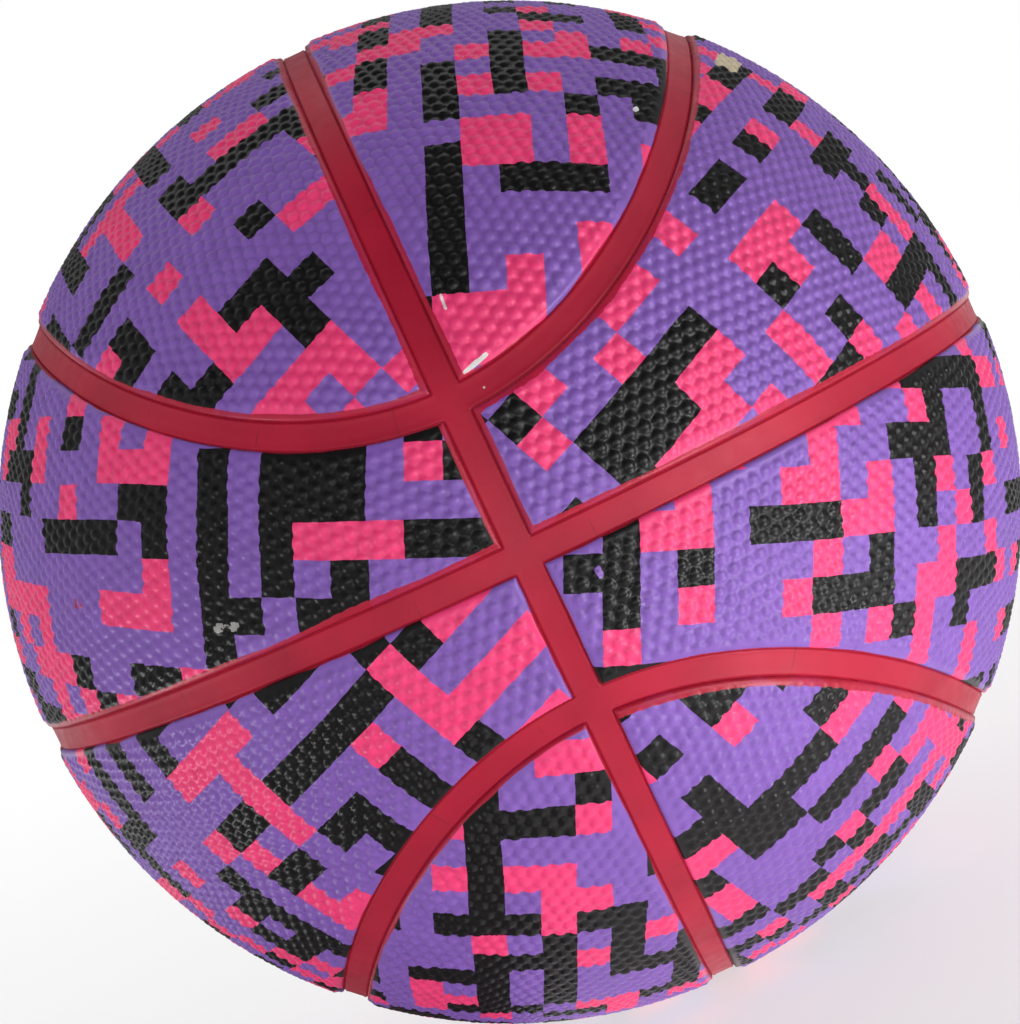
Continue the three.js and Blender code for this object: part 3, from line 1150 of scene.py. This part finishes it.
    def build(self) -> "PanelForm":
        """Work out the panel's closed mesh.

        Returns:
            The form itself, with its arrays filled.
        """
        radius, chart = self.plan.radius, self.chart
        rings = [self.outline(gap, rounding) for gap, _, rounding in self.SHOULDER]
        drops = [np.full(len(ring), drop) for ring, (_, drop, _) in zip(rings, self.SHOULDER)]
        loops = [np.arange(len(rings[0]))]
        hole = self.hole
        if hole is not None:
            first = sum(len(ring) for ring in rings)
            loops.append(first + np.arange(hole.count))
            for gap, drop, _ in self.SHOULDER:
                rings.append(hole.ring(self.plan, gap))
                drops.append(np.full(hole.count, max(drop, hole.wall_top)))
        spots, rises = self.lattice()
        flat = np.concatenate([chart.flatten(np.concatenate(rings)), spots])
        rises = np.concatenate([np.zeros(len(flat) - len(spots)), rises])
        drops = np.concatenate([*drops, np.full(len(spots), self.VALLEY)])
        unit_points = np.concatenate([np.concatenate(rings), chart.lift(spots)])
        top = self.fill(flat, unit_points, loops)
        upper = unit_points * (radius + drops + rises * self.style.height)[:, None]
        self.close(upper, unit_points, flat, top, loops, rises)
        LOG.info("%s panel form: %d points, %d faces", self.kind.value, len(self.points), len(self.faces))
        return self

    def fill(self, flat: Array, aims: Array, loops: Sequence[Array]) -> Array:
        """Fill the panel's outline with triangles, apart from the valve's hole.

        Args:
            flat: Chart places of the points.
            aims: Directions of the points.
            loops: Rings of points that the triangles keep to.

        Returns:
            Point numbers of the triangles.
        """
        faces = triangulate(flat, loops)
        if self.hole is None:
            return faces
        middles = unit(aims[faces].mean(axis=1))
        return faces[self.hole.gap(self.plan, middles) > 0]

    def close(
        self, upper: Array, aims: Array, flat: Array, top: Array, loops: Sequence[Array], rises: Array
    ) -> None:
        """Add the panel's walls and underside and keep its arrays.

        Args:
            upper: Vertices of the outer face.
            aims: Directions of those vertices.
            flat: Their chart places.
            top: Triangles of the outer face.
            loops: Rings of the outer face that walls hang from.
            rises: Pebble height at the vertices, from 0 to 1.
        """
        radius, chart = self.plan.radius, self.chart
        rim = np.concatenate(loops)
        step, (_, last, half) = self.UNDER_ALONG, self.CHART_BOX
        rows = np.arange(0, half, step)
        x, y = np.meshgrid(np.arange(0, last, step), np.concatenate([-rows[:0:-1], rows]))
        grid = np.stack([x.ravel(), y.ravel()], axis=-1)
        grid = grid[self.inner_gap(chart.lift(grid)) > step / 2]
        under_flat = np.concatenate([flat[rim], grid])
        under_aims = np.concatenate([aims[rim], chart.lift(grid)])
        ends = np.cumsum([len(loop) for loop in loops])
        under_loops = [np.arange(end - len(loop), end) for loop, end in zip(loops, ends)]
        under = self.fill(under_flat, under_aims, under_loops)[:, ::-1]
        base = len(upper)
        walls, wall_flat = [], []
        for loop, under_loop in zip(loops, under_loops):
            ahead, under_ahead = np.roll(loop, -1), np.roll(under_loop, -1)
            walls.append(np.stack([loop, base + under_loop, base + under_ahead], axis=-1))
            walls.append(np.stack([loop, base + under_ahead, ahead], axis=-1))
            along = flat[ahead] - flat[loop]
            out = np.stack([along[:, 1], -along[:, 0]], axis=-1)
            hang = flat[loop] + unit(out)
            hang_ahead = np.roll(hang, -1, axis=0)
            wall_flat.append(np.stack([flat[loop], hang, hang_ahead], axis=1))
            wall_flat.append(np.stack([flat[loop], hang_ahead, flat[ahead]], axis=1))
        self.points = np.concatenate([upper, under_aims * (radius + self.UNDERSIDE)])
        self.faces = np.concatenate([top, *walls, base + under])
        self.chart_mm = np.concatenate([flat, under_flat])
        self.gaps = self.edge_gaps(np.concatenate([aims, under_aims]))
        self.pebble = np.concatenate([rises, np.zeros(len(under_flat))])
        self.bake = self.lay_out(np.concatenate([flat[top], *wall_flat]), under_flat[under])

    def lay_out(self, outer: Array, lower: Array) -> Array:
        """Fold the panel in two on its bake map, with a small underside beside it.

        Args:
            outer: Chart places of the face corners of the outer face and walls.
            lower: Those of the underside.

        Returns:
            A place in the unit square for each face corner.
        """
        gap, shrink = self.BAKE_GAP, self.UNDER_SHRINK
        half = self.plan.radius * math.pi / 2
        folded = outer[:, :, 0].mean(axis=1) > half
        low = outer[..., 1].min() - gap
        tall = outer[..., 1].max() + gap - low
        outer[folded, :, 0] -= half
        outer[..., 1] -= low
        outer[folded, :, 1] += tall
        lower = lower * shrink
        lower[..., 1] += 2 * tall + gap - shrink * low
        size = np.array([half + 3 * gap, 2 * tall + 2 * gap + shrink * tall])
        return (np.concatenate([outer, lower]) + np.array([gap, 0.0])) / size


@dataclass
class CoverPanel:
    """One cover panel, a mirror image of its form."""

    form: PanelForm
    upper: bool
    right: bool
    overlap: tuple[float, float, float]
    cell_shift: tuple[int, int]

    @property
    def name(self) -> str:
        """The panel's node name."""
        rows = "upper" if self.upper else "lower"
        return f"{self.form.kind.value}_panel_{rows}_{'right' if self.right else 'left'}"

    def build(self, finish: Material, cell_mm: float) -> Object:
        """Make the panel's piece.

        Args:
            finish: The cover's material.
            cell_mm: Size of one cell of the print.

        Returns:
            The panel, in place of its solid.
        """
        sign = np.array([1 if self.right else -1, 1, 1 if self.upper else -1])
        flip = self.right != self.upper
        faces = self.form.faces[:, ::-1] if flip else self.form.faces
        bake = self.form.bake[:, ::-1] if flip else self.form.bake
        panel = make_object(self.name + "_cover", self.form.points * sign, faces, finish)
        cells = self.form.chart_mm / cell_mm + np.array(self.cell_shift)
        set_attribute(panel, "print_cell", np.pad(cells, ((0, 0), (0, 1))))
        set_attribute(panel, "pebble", self.form.pebble)
        set_attribute(panel, "paint_mm", (self.form.gaps - np.array(self.overlap)).min(axis=-1))
        set_bake_map(panel, bake)
        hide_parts(self.name)
        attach(panel, "ball")
        return panel


@dataclass
class ChannelLining:
    """A length of the red lining in one of the channels."""

    name: str
    plan: SeamPlan
    route: Route
    below: bool = False
    start: float = 0.0
    end: float = 2 * math.pi

    SIDE_GAP = 0.04
    BUTT_GAP = 0.005
    CORNER = 0.12
    UNDERSIDE = -1.4
    # Distance in from the channel's edge and height over the ball's radius
    PROFILE = (
        (0.0, -1.15),
        (0.14, -1.15),
        (0.27, -1.03),
        (0.41, -0.9),
        (0.56, -0.87),
        (0.8, -0.9),
        (1.2, -0.96),
        (2.8, -0.96),
    )
    # Columns of points across half the lining, by their distance in from the channel's edge
    COLUMNS = (0.14, 0.2, 0.27, 0.34, 0.41, 0.56, 0.8, 1.2, 1.9)
    # Steps along the lining, the finer ones at the crossings, and the room between the two
    ALONG = 1.1
    FINE_ALONG = 0.2
    FINE_REACH = 5.0
    FINE_ROOM = 0.2
    # Steps across the strip and its ends on the bake map, and the room between its parts
    BAKE_STEP = 0.5
    CAP_STEP = 0.4
    CAP_APART = 8.0
    BAKE_GAP = 2.0

    @property
    def closed(self) -> bool:
        """Whether the lining is a loop round the ball."""
        return self.route is not Route.MERIDIAN

    def line(self, run: Array, offset: Array) -> Array:
        """Find points of the lining's face.

        Args:
            run: Angle along the seam.
            offset: Distance to the side of it.

        Returns:
            Directions, in the upper half of the ball or below it.
        """
        beside = {
            Route.EQUATOR: self.plan.beside_equator,
            Route.CURVE: self.plan.beside_curve,
            Route.MERIDIAN: self.plan.beside_meridian,
        }[self.route]
        return beside(run, offset) * np.array([1, 1, -1 if self.below else 1])

    def inset(self, points: Array) -> Array:
        """Measure how far points of the channels are from a panel's edge.

        Args:
            points: Directions.

        Returns:
            Distance in from the edge, turning the corners of crossings.
        """
        upper = np.abs(points)
        half = self.plan.channel_half
        gaps = np.stack(
            [
                self.plan.right_of_meridian(upper) - half,
                self.plan.above_equator(upper) - half,
                np.abs(self.plan.above_curve(upper)) - half,
            ],
            axis=-1,
        )
        return np.linalg.norm(np.clip(self.CORNER - gaps, 0, None), axis=-1) - self.CORNER

    def stations(self) -> Array:
        """Choose angles along the seam, closer together at the crossings.

        Returns:
            Rising angles.
        """
        radius = self.plan.radius
        count = round((self.end - self.start) * radius / self.ALONG) + 1
        coarse = np.linspace(self.start, self.end, count)
        if not self.closed:
            return coarse
        fine_count = 2 * round(self.FINE_REACH / self.FINE_ALONG) + 1
        near = np.linspace(-self.FINE_REACH, self.FINE_REACH, fine_count) / radius
        fine = np.concatenate([near % (2 * np.pi), np.pi + near])
        coarse = coarse[:-1]
        past = coarse % np.pi
        apart = np.minimum(past, np.pi - past) * radius
        return np.unique(np.concatenate([coarse[apart > self.FINE_REACH + self.FINE_ROOM], fine]))

    def columns(self) -> Array:
        """Place the columns of points across the lining.

        Returns:
            Rising distances to the side of the seam.
        """
        half = self.plan.channel_half
        steps = np.array([half - self.SIDE_GAP, *(half - step for step in self.COLUMNS), 0.0])
        return np.concatenate([-steps, steps[:-1][::-1]])

    def lengths(self, run: Array) -> Array:
        """Measure along the seam.

        Args:
            run: Angles of the stations.

        Returns:
            Distance of each station from the first, and back to that one.
        """
        centre = self.line(run, np.zeros_like(run))
        joins = np.linalg.norm(np.diff(centre, axis=0, append=centre[:1]), axis=-1)
        return np.concatenate([[0], np.cumsum(joins * self.plan.radius)])

    def skin(self, rows: int, girth: int, length: Array) -> tuple[Array, Array]:
        """Join the stations' sections into a skin.

        Args:
            rows: Number of stations.
            girth: Points round a section.
            length: Distance of each station along the seam.

        Returns:
            Faces as rows of point numbers, and flat places of their corners.
        """
        count = rows if self.closed else rows - 1
        row, col = np.meshgrid(np.arange(count), np.arange(girth), indexing="ij")
        corner_rows = np.stack([row, row + 1, row + 1, row], axis=-1)
        corner_cols = np.stack([col, col, col + 1, col + 1], axis=-1)
        faces = corner_rows % rows * girth + corner_cols % girth
        places = np.stack([length[corner_rows], corner_cols * self.BAKE_STEP], axis=-1)
        return faces.reshape(-1, 4), places.reshape(-1, 4, 2)

    def caps(self, rows: int, girth: int) -> tuple[Array, Array]:
        """Close the two ends of a lining that isn't a loop.

        Args:
            rows: Number of stations.
            girth: Points round a section.

        Returns:
            Faces as rows of point numbers, and flat places of their corners.
        """
        wide = self.CAP_STEP
        low = np.arange(girth // 2 - 1)
        faces = np.stack([low, low + 1, girth - 2 - low, girth - 1 - low], axis=-1)
        square = np.array([[0, 0], [wide, 0], [wide, 1], [0, 1]])
        corner = np.stack([low * wide, np.full(len(low), girth * self.BAKE_STEP + self.BAKE_GAP)], axis=-1)
        places = corner[:, None] + square
        far_places = places[:, ::-1] + np.array([self.CAP_APART, 0.0])
        return (
            np.concatenate([faces, (rows - 1) * girth + faces[:, ::-1]]),
            np.concatenate([places, far_places]),
        )

    def build(self, finish: Material) -> Object:
        """Make the lining's piece.

        Args:
            finish: The linings' material.

        Returns:
            The lining, in place of its solid.
        """
        radius = self.plan.radius
        run = self.stations()
        aims = self.line(*np.meshgrid(run, self.columns(), indexing="ij"))
        levels, drops = zip(*self.PROFILE)
        top = aims * (radius + np.interp(self.inset(aims), levels, drops))[..., None]
        under = aims * (radius + self.UNDERSIDE)
        section = np.concatenate([top, under[:, ::-1]], axis=1)
        rows, girth, _ = section.shape
        length = self.lengths(run)
        faces, places = self.skin(rows, girth, length)
        if not self.closed:
            cap_faces, cap_places = self.caps(rows, girth)
            faces, places = np.concatenate([faces, cap_faces]), np.concatenate([places, cap_places])
        if self.below:
            faces, places = faces[:, ::-1], places[:, ::-1]
        lining = make_object(self.name + "_lining", section.reshape(-1, 3), faces, finish)
        set_attribute(lining, "run_mm", np.repeat(length[:rows], girth))
        self.lay_out(lining, places, girth * self.BAKE_STEP + 2 * self.BAKE_GAP)
        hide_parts(self.name)
        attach(lining, "ball")
        return lining

    def lay_out(self, lining: Object, corners: Array, tall: float) -> None:
        """Fold the long strip into rows on its bake map.

        Args:
            lining: The lining's piece.
            corners: Millimetres along and round the strip, for each face corner.
            tall: Height of one row.
        """
        gap = self.BAKE_GAP
        longest = corners[..., 0].max()
        rows = max(1, round(math.sqrt(longest / tall)))
        wide = longest / rows
        row = np.minimum(np.floor(corners[..., 0].mean(axis=1) / wide), rows - 1)
        corners = corners.copy()
        corners[..., 0] += gap - (row * wide)[:, None]
        corners[..., 1] += (gap / 2 + row * tall)[:, None]
        set_bake_map(lining, corners / np.array([wide + 2.5 * gap, rows * tall + gap]))


@dataclass
class Valve:
    """The sleeve in the wall of the ball and the plug that slides out of it."""

    hole: ValveHole
    segments: int = 96

    # Radius and distance from the ball's centre, once round each section
    SEAT = (
        (3.3, 101.9),
        (5.7, 101.9),
        (6.0, 102.2),
        (6.0, 116.1),
        (10.8, 115.7),
        (11.0, 115.85),
        (11.0, 116.35),
        (10.7, 116.5),
        (6.0, 116.9),
        (6.05, 120.62),
        (5.97, 120.8),
        (5.8, 120.88),
        (5.6, 120.9),
        (5.1, 120.9),
        (4.92, 120.87),
        (4.82, 120.75),
        (4.8, 120.5),
        (4.8, 119.6),
        (3.3, 119.6),
    )
    PLUG = (
        (0.0, 104.9),
        (2.2, 104.9),
        (2.7, 105.15),
        (3.0, 105.7),
        (3.0, 119.9),
        (4.5, 119.9),
        (4.5, 120.55),
        (4.42, 120.78),
        (4.2, 120.88),
        (3.9, 120.9),
        (2.0, 120.9),
        (1.75, 120.88),
        (1.4, 120.7),
        (1.12, 120.42),
        (1.02, 120.1),
        (1.0, 119.7),
        (1.0, 108.9),
        (0.7, 108.2),
        (0.0, 107.9),
    )

    def lathe(self, name: str, profile: Sequence[tuple[float, float]], finish: Material) -> Object:
        """Turn a closed profile round the valve's axis.

        Args:
            name: Name of the piece.
            profile: Radius and distance from the ball's centre, in order.
            finish: The piece's material.

        Returns:
            The turned piece.
        """
        on_axis = profile[0][0] == 0
        axis = self.hole.axis()
        east, north = tangents(axis)
        count = self.segments
        turn = np.arange(count) * 2 * np.pi / count
        arms = east * np.cos(turn)[:, None] + north * np.sin(turn)[:, None]
        body = profile[1:-1] if on_axis else profile
        points = [axis * height + arms * radius for radius, height in body]
        k = np.arange(count)
        ahead = (k + 1) % count
        faces = []
        for i in range(len(body) - on_axis):
            here, beyond = i * count, (i + 1) % len(body) * count
            faces.append(np.stack([here + k, here + ahead, beyond + ahead], axis=-1))
            faces.append(np.stack([here + k, beyond + ahead, beyond + k], axis=-1))
        if on_axis:
            first, last = len(body) * count, (len(body) - 1) * count
            points += [axis[None] * profile[0][1], axis[None] * profile[-1][1]]
            faces.append(np.stack([np.full(count, first), ahead, k], axis=-1))
            faces.append(np.stack([np.full(count, first + 1), last + k, last + ahead], axis=-1))
        return make_object(name, np.concatenate(points), np.concatenate(faces), finish)

    def build(self, finish: Material) -> tuple[Object, Object]:
        """Make the sleeve and the plug.

        Args:
            finish: Their material.

        Returns:
            The sleeve, and the plug, which rides its own body.
        """
        seat = self.lathe("valve_sleeve_turned", self.SEAT, finish)
        plug = self.lathe("valve_plug_turned", self.PLUG, finish)
        for piece, node, body in ((seat, "valve_seat", "ball"), (plug, "valve_plug", "plug")):
            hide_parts(node)
            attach(piece, body)
        return seat, plug


@dataclass
class InnerLayers:
    """Bladder, winding and carcass under the cover."""

    nodes: dict[str, Object]

    def dress(self, finishes: dict[str, Material]) -> None:
        """Give each layer its material.

        Args:
            finishes: A material for each node name.
        """
        for name, material in finishes.items():
            mesh = self.nodes[name].data
            mesh.materials.clear()
            mesh.materials.append(material)
            LOG.info("%s: %s", name, material.name)


def seen_rays(sketch: Sketch) -> Socket:
    """Tell the rays that show the background from those that light the ball.

    Args:
        sketch: The shader of the floor or the world.

    Returns:
        A socket that is 1 for camera, glossy and transmission rays.
    """
    path = sketch.add("LightPath")
    shown = path.outputs["Is Camera Ray"]
    for ray in ("Is Glossy Ray", "Is Transmission Ray"):
        shown = sketch.add("Math", {0: shown, 1: path.outputs[ray]}, operation="MAXIMUM").outputs[0]
    return shown


def stage_plate(name: str, wide: float, tall: float, material: Material) -> Object:
    """Make a flat plate of the studio, in metres, that faces +Z.

    Args:
        name: Name of the plate.
        wide: Width along X.
        tall: Length along Y.
        material: Its material.

    Returns:
        The plate, which isn't part of the ball.
    """
    x, y = wide / 2, tall / 2
    mesh = bpy.data.meshes.new(name)
    mesh.from_pydata([(-x, -y, 0), (x, -y, 0), (x, y, 0), (-x, y, 0)], [], [(0, 1, 2, 3)])
    mesh.materials.append(material)
    plate = bpy.data.objects.new(name, mesh)
    bpy.context.scene.collection.objects.link(plate)
    plate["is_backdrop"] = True
    return plate


@dataclass(frozen=True)
class Card:
    """A matte card out of the picture that faces the ball and keeps glare off it.

    A dark card takes soft light away too, and a grey one only glare.
    """

    name: str
    place: tuple[float, float, float]
    wide: float
    tall: float
    dark: bool = False
    lying: bool = False

    def build(self) -> None:
        """Set the card up, or lay it on the floor."""
        material, sketch = new_material(f"Card, matte, for {self.name}")
        tint = Tint.DARK_CARD if self.dark else Tint.GREY_CARD
        surface = sketch.add("BsdfPrincipled", {"Base Color": linear(tint), "Roughness": 0.9})
        sketch.add("OutputMaterial", {"Surface": surface})
        card = stage_plate(self.name, self.wide, self.tall, material)
        card.location = self.place
        facing = Vector((0, 0, 1)) if self.lying else Vector(self.place)
        card.rotation_euler = facing.to_track_quat("Z", "Y").to_euler()
        card.visible_camera = False
        card.visible_diffuse = self.dark
        card.visible_shadow = self.dark


@dataclass(frozen=True)
class Lamp:
    """A soft square lamp that faces the ball, or lies by the floor and faces up.

    A glint lamp only shows as a glint on the pebbles.
    """

    name: str
    place: tuple[float, float, float]
    side: float
    watts: float
    lying: bool = False
    glint: bool = False

    def build(self) -> None:
        """Set the lamp up."""
        data = bpy.data.lights.new(self.name, "AREA")
        data.shape = "SQUARE"
        data.size = self.side
        data.energy = self.watts
        lamp = bpy.data.objects.new(self.name, data)
        lamp.location = self.place
        backing = Vector((0, 0, -1)) if self.lying else Vector(self.place)
        lamp.rotation_euler = backing.to_track_quat("Z", "Y").to_euler()
        lamp.visible_camera = False
        lamp.visible_diffuse = not self.glint
        bpy.context.scene.collection.objects.link(lamp)


@dataclass
class Studio:
    """Pale floor, soft light and the camera at the photo's angle."""

    plan: SeamPlan
    camera_back: tuple[float, float, float] = (0.009538, -0.997799, 0.065626)
    camera_up: tuple[float, float, float] = (0.42444, 0.063464, 0.90323)
    distance_radii: float = 3.3
    sensor_mm: float = 36.0
    focal_mm: float = 56.63
    sky_level: float = 1.216
    floor_side: float = 8.0
    floor_white: float = 0.6
    cards: tuple[Card, ...] = (
        Card("overhead_card", (-0.05, -0.45, 0.8), 1.8, 1.5, dark=True),
        Card("front_card", (0.25, -1.0, 0.5), 2.3, 1.4),
        Card("right_card", (0.55, 0.0, 0.2), 1.0, 0.75),
        Card("left_card", (-0.7, -0.2, 0.3), 1.6, 1.1),
        Card("back_card", (0.0, 1.0, 0.5), 2.0, 1.4),
        Card("table_card", (-0.1, -0.5, -0.1205), 1.6, 1.2, lying=True),
    )
    lamps: tuple[Lamp, ...] = (
        Lamp("floor_panel", (0.1, -0.1, -0.1195), 0.3, 0.19, lying=True),
        Lamp("low_panel", (0.11, -0.19, -0.115), 0.06, 0.12, lying=True),
        Lamp("left_glint", (-0.36, -0.12, -0.113), 0.2, 0.63, lying=True, glint=True),
        Lamp("right_glint", (0.32, -0.36, -0.03), 0.18, 0.7, glint=True),
        Lamp("front_glint", (0.37, -0.98, 0.0), 0.22, 0.8, glint=True),
        Lamp("front_panel", (-0.2, -1.6, 0.0), 0.26, 2.0),
        Lamp("back_panel", (0.9, 1.4, 0.5), 0.9, 4.5),
    )

    def build(self) -> None:
        """Set the camera, floor, world, cards and lamps."""
        self.add_camera()
        self.add_floor()
        self.add_world()
        for item in (*self.cards, *self.lamps):
            item.build()

    def add_camera(self) -> None:
        """Look at the ball as the photo does."""
        back = Vector(self.camera_back)
        right = Vector(self.camera_up).cross(back).normalized()
        up = back.cross(right).normalized()
        data = bpy.data.cameras.new("photo_camera")
        data.sensor_width = self.sensor_mm
        data.sensor_fit = "HORIZONTAL"
        data.lens = self.focal_mm
        data.clip_start = 0.01
        camera = bpy.data.objects.new("photo_camera", data)
        turn = Matrix((right, up, back)).transposed().to_4x4()
        place = back * self.distance_radii * self.plan.radius * MM
        camera.matrix_world = Matrix.Translation(place) @ turn
        bpy.context.scene.collection.objects.link(camera)
        bpy.context.scene.camera = camera

    def add_floor(self) -> None:
        """Lay a pale floor under the ball."""
        material, sketch = new_material("Pale paper floor, matte")
        paper = sketch.add("BsdfPrincipled", {"Base Color": linear(Tint.FLOOR), "Roughness": 0.9})
        white = sketch.add("Emission", {"Color": (1, 1, 1, 1), "Strength": 1.0})
        lifted = sketch.add("Math", {0: seen_rays(sketch), 1: self.floor_white}, operation="MULTIPLY")
        surface = sketch.add("MixShader", {0: lifted, 1: paper, 2: white})
        sketch.add("OutputMaterial", {"Surface": surface})
        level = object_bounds()[0].z
        floor = stage_plate("floor", self.floor_side, self.floor_side, material)
        floor.location.z = level

    def add_world(self) -> None:
        """Light from all round, shown white to the camera and in reflections."""
        world = bpy.data.worlds.new("studio")
        world.use_nodes = True
        world.node_tree.nodes.clear()
        sketch = Sketch(world.node_tree)
        level = sketch.add("MapRange", {0: seen_rays(sketch), 3: self.sky_level, 4: 1.0})
        sky = sketch.add("Background", {"Color": (1, 1, 1, 1), "Strength": level})
        sketch.add("OutputWorld", {"Surface": sky})
        bpy.context.scene.world = world


def cover_panels(plan: SeamPlan) -> list[CoverPanel]:
    """List the eight panels with how far the red paint laps each edge.

    Args:
        plan: The ball's seams.

    Returns:
        The panels, with laps at the meridian, equator and curved edges.
    """
    no_edge = -9.0
    style = PebbleStyle()
    side = PanelForm(PanelKind.SIDE, plan, style).build()
    crown = PanelForm(PanelKind.CROWN, plan, style).build()
    holed = PanelForm(PanelKind.SIDE, plan, style, ValveHole()).build()
    return [
        CoverPanel(side, True, False, (0.8, 1.3, 0.1), (0, 0)),
        CoverPanel(holed, True, True, (0.8, 1.2, 1.4), (71, 20)),
        CoverPanel(side, False, False, (0.1, 0.1, 0.2), (140, 41)),
        CoverPanel(side, False, True, (0.1, 0.1, 0.1), (212, 63)),
        CoverPanel(crown, True, False, (1.3, no_edge, 1.2), (283, 84)),
        CoverPanel(crown, True, True, (1.0, no_edge, 0.2), (354, 105)),
        CoverPanel(crown, False, False, (0.3, no_edge, 0.7), (425, 126)),
        CoverPanel(crown, False, True, (0.1, no_edge, 1.6), (496, 147)),
    ]


def channel_linings(plan: SeamPlan) -> list[ChannelLining]:
    """List the three looped linings and the six lengths between them.

    Args:
        plan: The ball's seams.

    Returns:
        The linings.
    """
    cut = (plan.channel_half - ChannelLining.SIDE_GAP + ChannelLining.BUTT_GAP) / plan.radius
    front = float(plan.curve_elevation(np.zeros(1))[0])
    spans = {
        "front": (cut, front - cut),
        "crown": (front + cut, math.pi - front - cut),
        "back": (math.pi - front + cut, math.pi - cut),
    }
    linings = [ChannelLining("equator_strip", plan, Route.EQUATOR)]
    for row, below in (("upper", False), ("lower", True)):
        linings.append(ChannelLining(f"curve_strip_{row}", plan, Route.CURVE, below))
        for part, (start, end) in spans.items():
            name = f"meridian_strip_{part}_{row}"
            linings.append(ChannelLining(name, plan, Route.MERIDIAN, below, start, end))
    return linings


def main() -> None:
    """Build the ball, its finishes and the studio."""
    logging.basicConfig(level=logging.INFO, format="%(name)s: %(message)s")
    plan = SeamPlan()
    printed = PrintedRubber()
    cover, channel = printed.build(), ChannelRubber().build()
    for panel in cover_panels(plan):
        LOG.info("built %s", panel.build(cover, printed.cell_mm).name)
    for lining in channel_linings(plan):
        LOG.info("built %s", lining.build(channel).name)
    valve_rubber = PlainRubber("Valve rubber, black and moulded", Tint.VALVE, 0.55, 0.8).build()
    for piece in Valve(ValveHole()).build(valve_rubber):
        LOG.info("built %s", piece.name)
    butyl = PlainRubber("Butyl rubber, black and blown", Tint.BUTYL, 0.4, 3.0)
    carcass = PlainRubber("Carcass rubber, black and matte", Tint.CARCASS, 0.7, 1.5)
    finishes = {"bladder": butyl, "nylon_winding": WoundThread(), "carcass": carcass}
    InnerLayers(frame["nodes"]).dress({node: finish.build() for node, finish in finishes.items()})
    Studio(plan).build()
    bpy.context.scene.view_settings.view_transform = "Standard"


if __name__ == "__main__":
    main()
